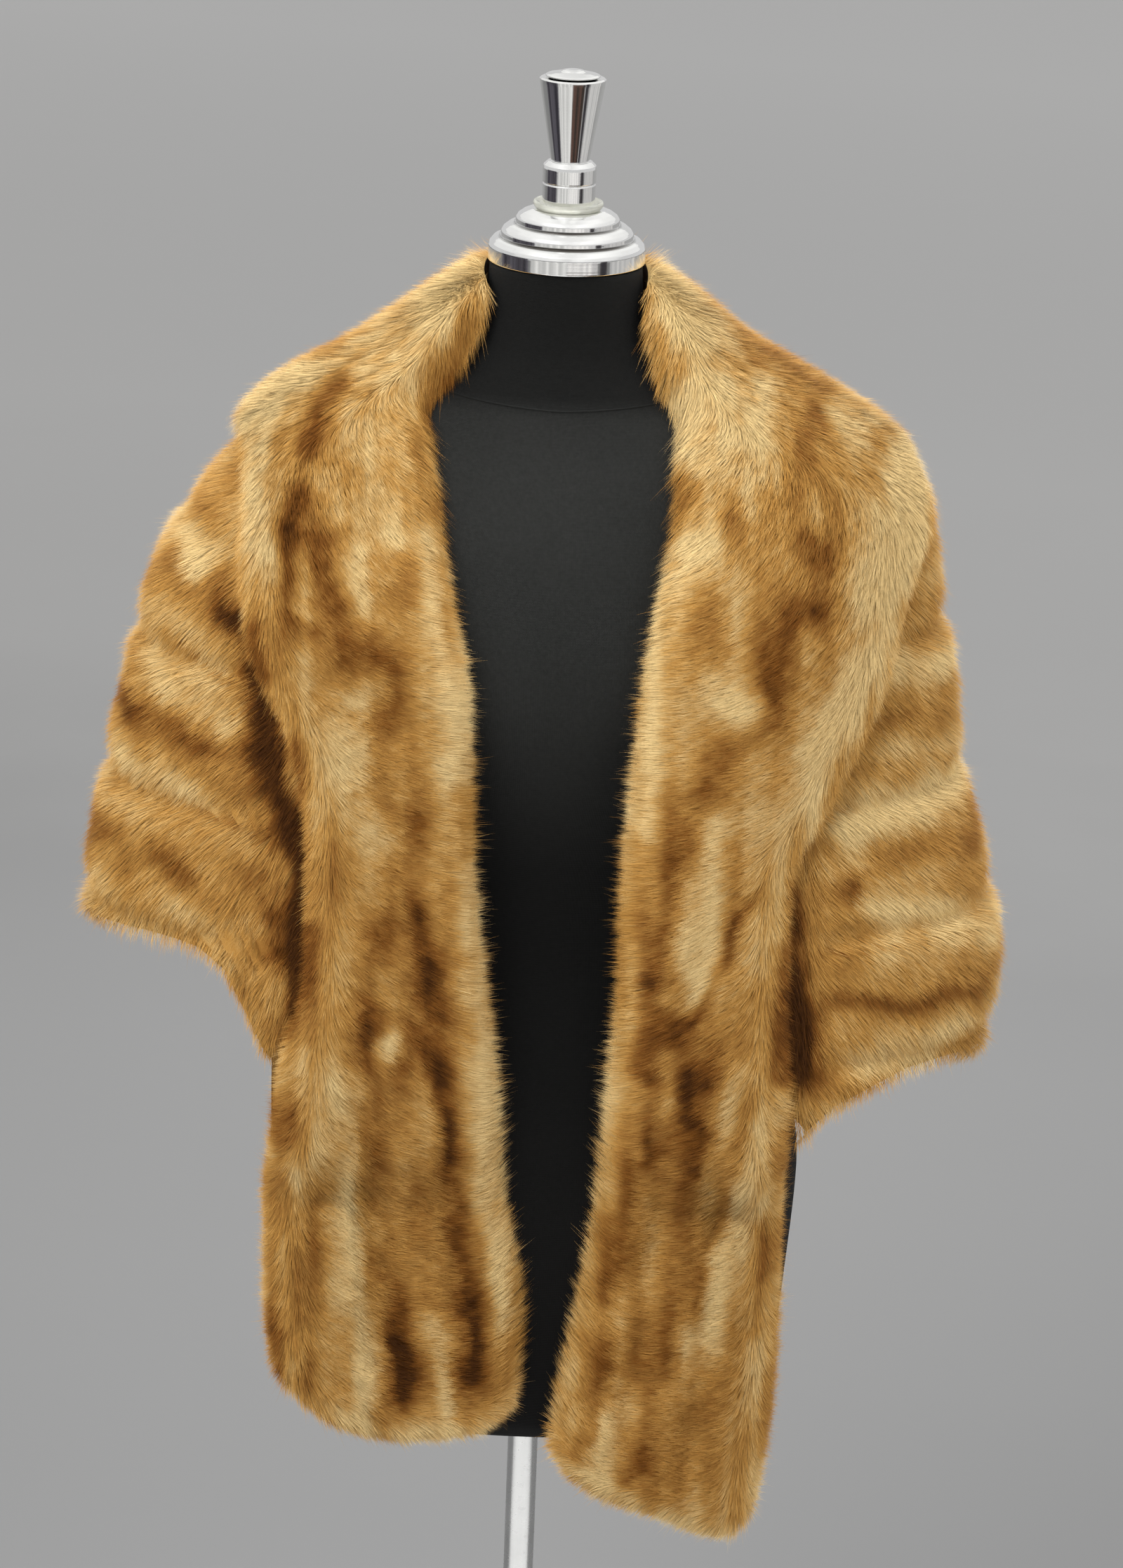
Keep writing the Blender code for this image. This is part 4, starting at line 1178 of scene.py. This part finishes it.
def collar_rails(s):
    """Inner and outer edge of the collar, each an angle and a height, at share s along it."""
    k = np.abs(s)
    shares = [row[0] for row in COLLAR_ROWS]

    def read(index):
        return smooth(k, shares, [row[index] for row in COLLAR_ROWS])

    right = s >= 0
    inner_height = read(1)
    outer_height = np.where(right, read(5), read(3))
    outer_angle = np.where(right, read(6), read(4))
    edge = np.where(right, column(EDGES, 2, inner_height), column(EDGES, 1, inner_height))
    front = np.abs(angle_at(edge, inner_height, DRAPE))
    start = np.where(right, column(EDGES, 2, 800.0), column(EDGES, 1, 800.0))
    start = np.abs(angle_at(start, np.full(s.shape, 800.0), DRAPE))
    front = np.where(k < 0.42, start + (math.pi - start) * read(2), front)
    sign = np.where(right, 1, -1)
    falls = smooth(k, [0.36, 0.5], [0, 1])
    wide = 160 - 20 * falls
    inset = np.where(right, smooth(k, [0.68, 0.78], [11, 17]), smooth(k, [0.5, 0.65], [10, 14])) / wide * falls
    outset = np.where(right, 3, 9) / wide * (0.5 + 0.5 * falls)
    turn, drop = np.radians(outer_angle) - front, outer_height - inner_height
    return (sign * (front + inset * turn), inner_height + inset * drop,
            sign * (front + (1 - outset) * turn), inner_height + (1 - outset) * drop)


def collar_paint(points):
    front = 1 / (1 + np.exp((points[..., 1] - 14) / 8))
    moved = points + 4 * np.stack([ripple(points, 42, k) for k in (31, 32, 33)], axis=-1)
    around = 0.5 + 0.5 * np.cos(2 * math.pi * (moved[..., 2] - 705) / 46)
    streaks = 0.10 * ripple(points * (1, 1, 0.25), 24, 34) + 0.04 * ripple(points * (1, 1, 0.2), 11, 39)
    total = (0.345 + front * streaks + (1 - front) * 0.09 * ripple(points * (0.5, 0.5, 1), 30, 34)
             + 0.05 * ripple(points, 9, 35) + 0.05 * ripple(points, 70, 38))
    for path, width, strength in COLLAR_STROKES + PANEL_STROKES:
        wide, strong = (1.2, 0.95) if strength > 0 else (1.1, 1.4)
        total = total + front * stroke(moved, path, width * wide, strength * strong)
    total = total + (1 - front) * (0.34 * around ** 3 - 0.06)
    return np.clip(total, 0, 1)


def collar_grids():
    s = np.linspace(-1, 1, 236)
    t = np.concatenate(([0, 0.008, 0.02, 0.036, 0.056], np.linspace(0.08, 0.92, 32),
                        [0.944, 0.964, 0.98, 0.992, 1]))
    s, t = np.meshgrid(s, t, indexing="ij")
    a0, h0, a1, h1 = collar_rails(s)
    wide = np.linalg.norm(drape(a1, h1) - drape(a0, h0), axis=-1)
    angle, height = a0 + (a1 - a0) * t, h0 + (h1 - h0) * t
    lift = np.minimum(smooth(t * wide, EDGE_AT, EDGE_LIFT), smooth(height, NECK_AT, NECK_LIFT))
    low = drape(angle, height, lift)
    reach = np.minimum(t * wide, (1 - t) * wide)
    share = rounding(reach, 18, 0.22) * (1 - 0.26 * band((1 - np.abs(s)) * 560, 60))
    steep = np.radians(72 - 50 * t)
    fan = np.stack((np.sin(angle) * np.cos(steep), -np.cos(angle) * np.cos(steep), np.sin(steep)), -1)
    falls = smooth(np.abs(s), [0.4, 0.62], [0, 1])[..., None]
    way = unit(fan * (1 - falls) + drape_normal(angle, height) * falls)
    near, far = np.full(s.shape, 2.0), np.full(s.shape, 130.0)
    for _ in range(24):
        mid = (near + far) / 2
        p = low + way * mid[..., None]
        turn = np.arctan2(p[..., 0], -p[..., 1])
        inside = (np.hypot(p[..., 0], p[..., 1]) < oval(COLLAR_OUT, turn, p[..., 2])) & (p[..., 2] < 822)
        near, far = np.where(inside, mid, near), np.where(inside, far, mid)
    full = near * share
    crease = sum(stroke(low, path, 7, 3.5) for path in ([(132, 430), (116, 396), (103, 348)],))
    swell = 1.0 * ripple(low, 55, 36) + 0.5 * ripple(low, 21, 37) - crease * (low[..., 1] < 0)
    outer = low + way * (full - np.minimum(7.5, full * 0.5) + swell * np.minimum(1, reach / 20))[..., None]
    for _ in range(14):
        outer[:, 3:-3] = (outer[:, 2:-4] + 2 * outer[:, 3:-3] + outer[:, 4:-2]) / 4
    inner = low + way * 0.5
    return s, t, wide, reach, inner, outer


s, t, wide, reach, inner, outer = collar_grids()
collar = pelt("collar_pelt", inner, outer, collar_paint)
out_way = grid_way(outer, 1)
front_way = grid_way(outer, 0) * np.where(s >= 0, 1, -1)[..., None]
turned_by = smooth(np.abs(s), [0.0, 0.24, 0.36, 0.52, 0.72, 1.0], [0, 6, 24, 92, 154, 164])
edge_out = band((1 - t) * wide, 20)
neck_in = band(t * wide, 95) * smooth(np.abs(s), [0.3, 0.42], [0, 1])
turned_by = turned_by + np.maximum(118 - turned_by, 0) * neck_in
turned_by = np.radians(turned_by * (1 - edge_out) + np.minimum(turned_by, 40) * edge_out)
lie = np.cos(turned_by)[..., None] * out_way + np.sin(turned_by)[..., None] * front_way
for _ in range(10):
    lie[:, 2:-2] = (lie[:, 1:-3] + 2 * lie[:, 2:-2] + lie[:, 3:-1]) / 4
collar_end = {1: outer[0], 2: outer[-1]}
collar_fur = []
for name, keep, hairs, seed in (("collar_fur_left", (-1, -0.4), 140000, 41),
                                ("collar_fur_back", (-0.4, 0.4), 92000, 42),
                                ("collar_fur_right", (0.4, 1), 140000, 43)):
    rows = [int(np.abs(s[:, 0] - end).argmin()) for end in keep]
    cut = slice(rows[0], rows[1] + 1)
    collar_fur.append(grow(name, outer[cut], lie[cut], collar_paint, hairs, seed=seed,
                           rise=1 - 0.3 * band(reach[cut], 14),
                           long=1 + 0.45 * band(t[cut] * wide[cut], 9)))


# Front panels: the long hanging fronts, each of strips of mink sewn side by side, joined edge to
# edge to the collar's ends; the right one hangs lower.
# Columns: share across from the inner edge, height of the lower edge left, right.
FEET = [
    (0, 34, 0),
    (0.12, 12, -26),
    (0.3, 3, -46),
    (0.5, -2, -58),
    (0.7, -3, -74),
    (0.85, 6, -80),
    (0.95, 24, -72),
    (1, 48, -48),
]
def panel_grids(side):
    t = np.concatenate(([0, 0.012, 0.03, 0.055], np.linspace(0.085, 0.915, 30), [0.945, 0.97, 0.988, 1]))
    v = np.concatenate((np.linspace(0, 0.93, 66), [0.945, 0.96, 0.974, 0.986, 0.995, 1]))
    t, v = np.meshgrid(t, v, indexing="ij")
    top = SEAM - 0.3
    foot = smooth(t, [row[0] for row in FEET], [row[side] for row in FEET])
    height = top + (foot - top) * v
    height = height + 8 * v
    edge, far = column(EDGES, side, height), column(EDGES, side + 2, height)
    start, end = (smooth(v, [0.3, 0.65], [0.095, 0.045]), 0.99) if side == 1 else (
        smooth(v, [0.2, 0.6, 0.9], [0.105, 0.085, 0.055]), 0.965)
    x = edge + (far - edge) * (start + (end - start) * t)
    angle = angle_at(x, height, DRAPE)
    across_in = np.minimum(t, 1 - t) * 150
    foot_in = (1 - v) * (top - foot)
    swell = 3.0 * np.abs(np.sin(math.pi * 3 * t)) * smooth(top - height, [0, 20, 60], [0, 0, 1])
    thick = (PELT + 6 + swell) * rounding(np.minimum(across_in, foot_in), 14, 0.3)
    inner = drape(angle, height, 0.5)
    swell = 0.8 * ripple(inner, 50, 56) + 0.4 * ripple(inner, 19, 57)
    outer = drape(angle, height, thick - np.minimum(7.5, thick * 0.5)
                  + swell * np.minimum(1, np.minimum(across_in, foot_in) / 20))
    # The top edge meets the collar's end.
    end_at = np.cumsum(np.concatenate(([0], np.linalg.norm(np.diff(collar_end[side], axis=0), axis=-1))))
    here_at = np.cumsum(np.concatenate(([0], np.linalg.norm(np.diff(outer[:, 0], axis=0), axis=-1))))
    met = np.stack([np.interp(here_at / here_at[-1], end_at / end_at[-1], collar_end[side][:, k])
                    for k in range(3)], axis=-1)
    fade = smooth(top - height, [0, 8, 110], [1, 0.97, 0])[..., None]
    outer = outer + fade * ((met - outer[:, 0]) * (1, 1, 0))[:, None, :]
    return t, v, across_in, foot_in, inner, outer


panels = []
for name, side, seed in (("left", 1, 61), ("right", 2, 62)):
    t, v, across_in, foot_in, inner, outer = panel_grids(side)
    panel = pelt(name + "_panel_pelt", inner, outer, collar_paint)
    out_way, down = grid_way(outer, 0), grid_way(outer, 1)
    foot_band = band(foot_in, 26)[..., None]
    from_top = np.clip(v * 4, 0, 1)
    swing = 164 + from_top * (37 - 25 * t)
    outer_band = band((1 - t) * 150, 38)
    swing = np.radians(swing + (28 - swing) * outer_band)[..., None]
    lie = np.cos(swing) * out_way + np.sin(swing) * down
    lie = unit(lie) * (1 - foot_band) + (down - 0.35 * out_way) * foot_band
    hair = grow(name + "_panel_fur", outer, lie, collar_paint, 98000, seed=seed,
                rise=1 - 0.3 * band(np.minimum(across_in, foot_in), 14), long=1 + 0.45 * band(t * 150, 9) * np.clip(foot_in / 60, 0, 1))
    panels.append((panel, hair))
bpy.data.objects.remove(blade, do_unlink=True)

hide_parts("cape")
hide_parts("collar")
for piece, slot in [(cape, "cape"), (collar, "collar")] + [(p, "cape") for p in cape_fur] + [
        (p, "collar") for p in collar_fur]:
    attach(piece, "root")
for (panel, hair), slot in zip(panels, ("front_panel_left", "front_panel_right")):
    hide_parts(slot)
    for piece in (panel, hair):
        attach(piece, "root")
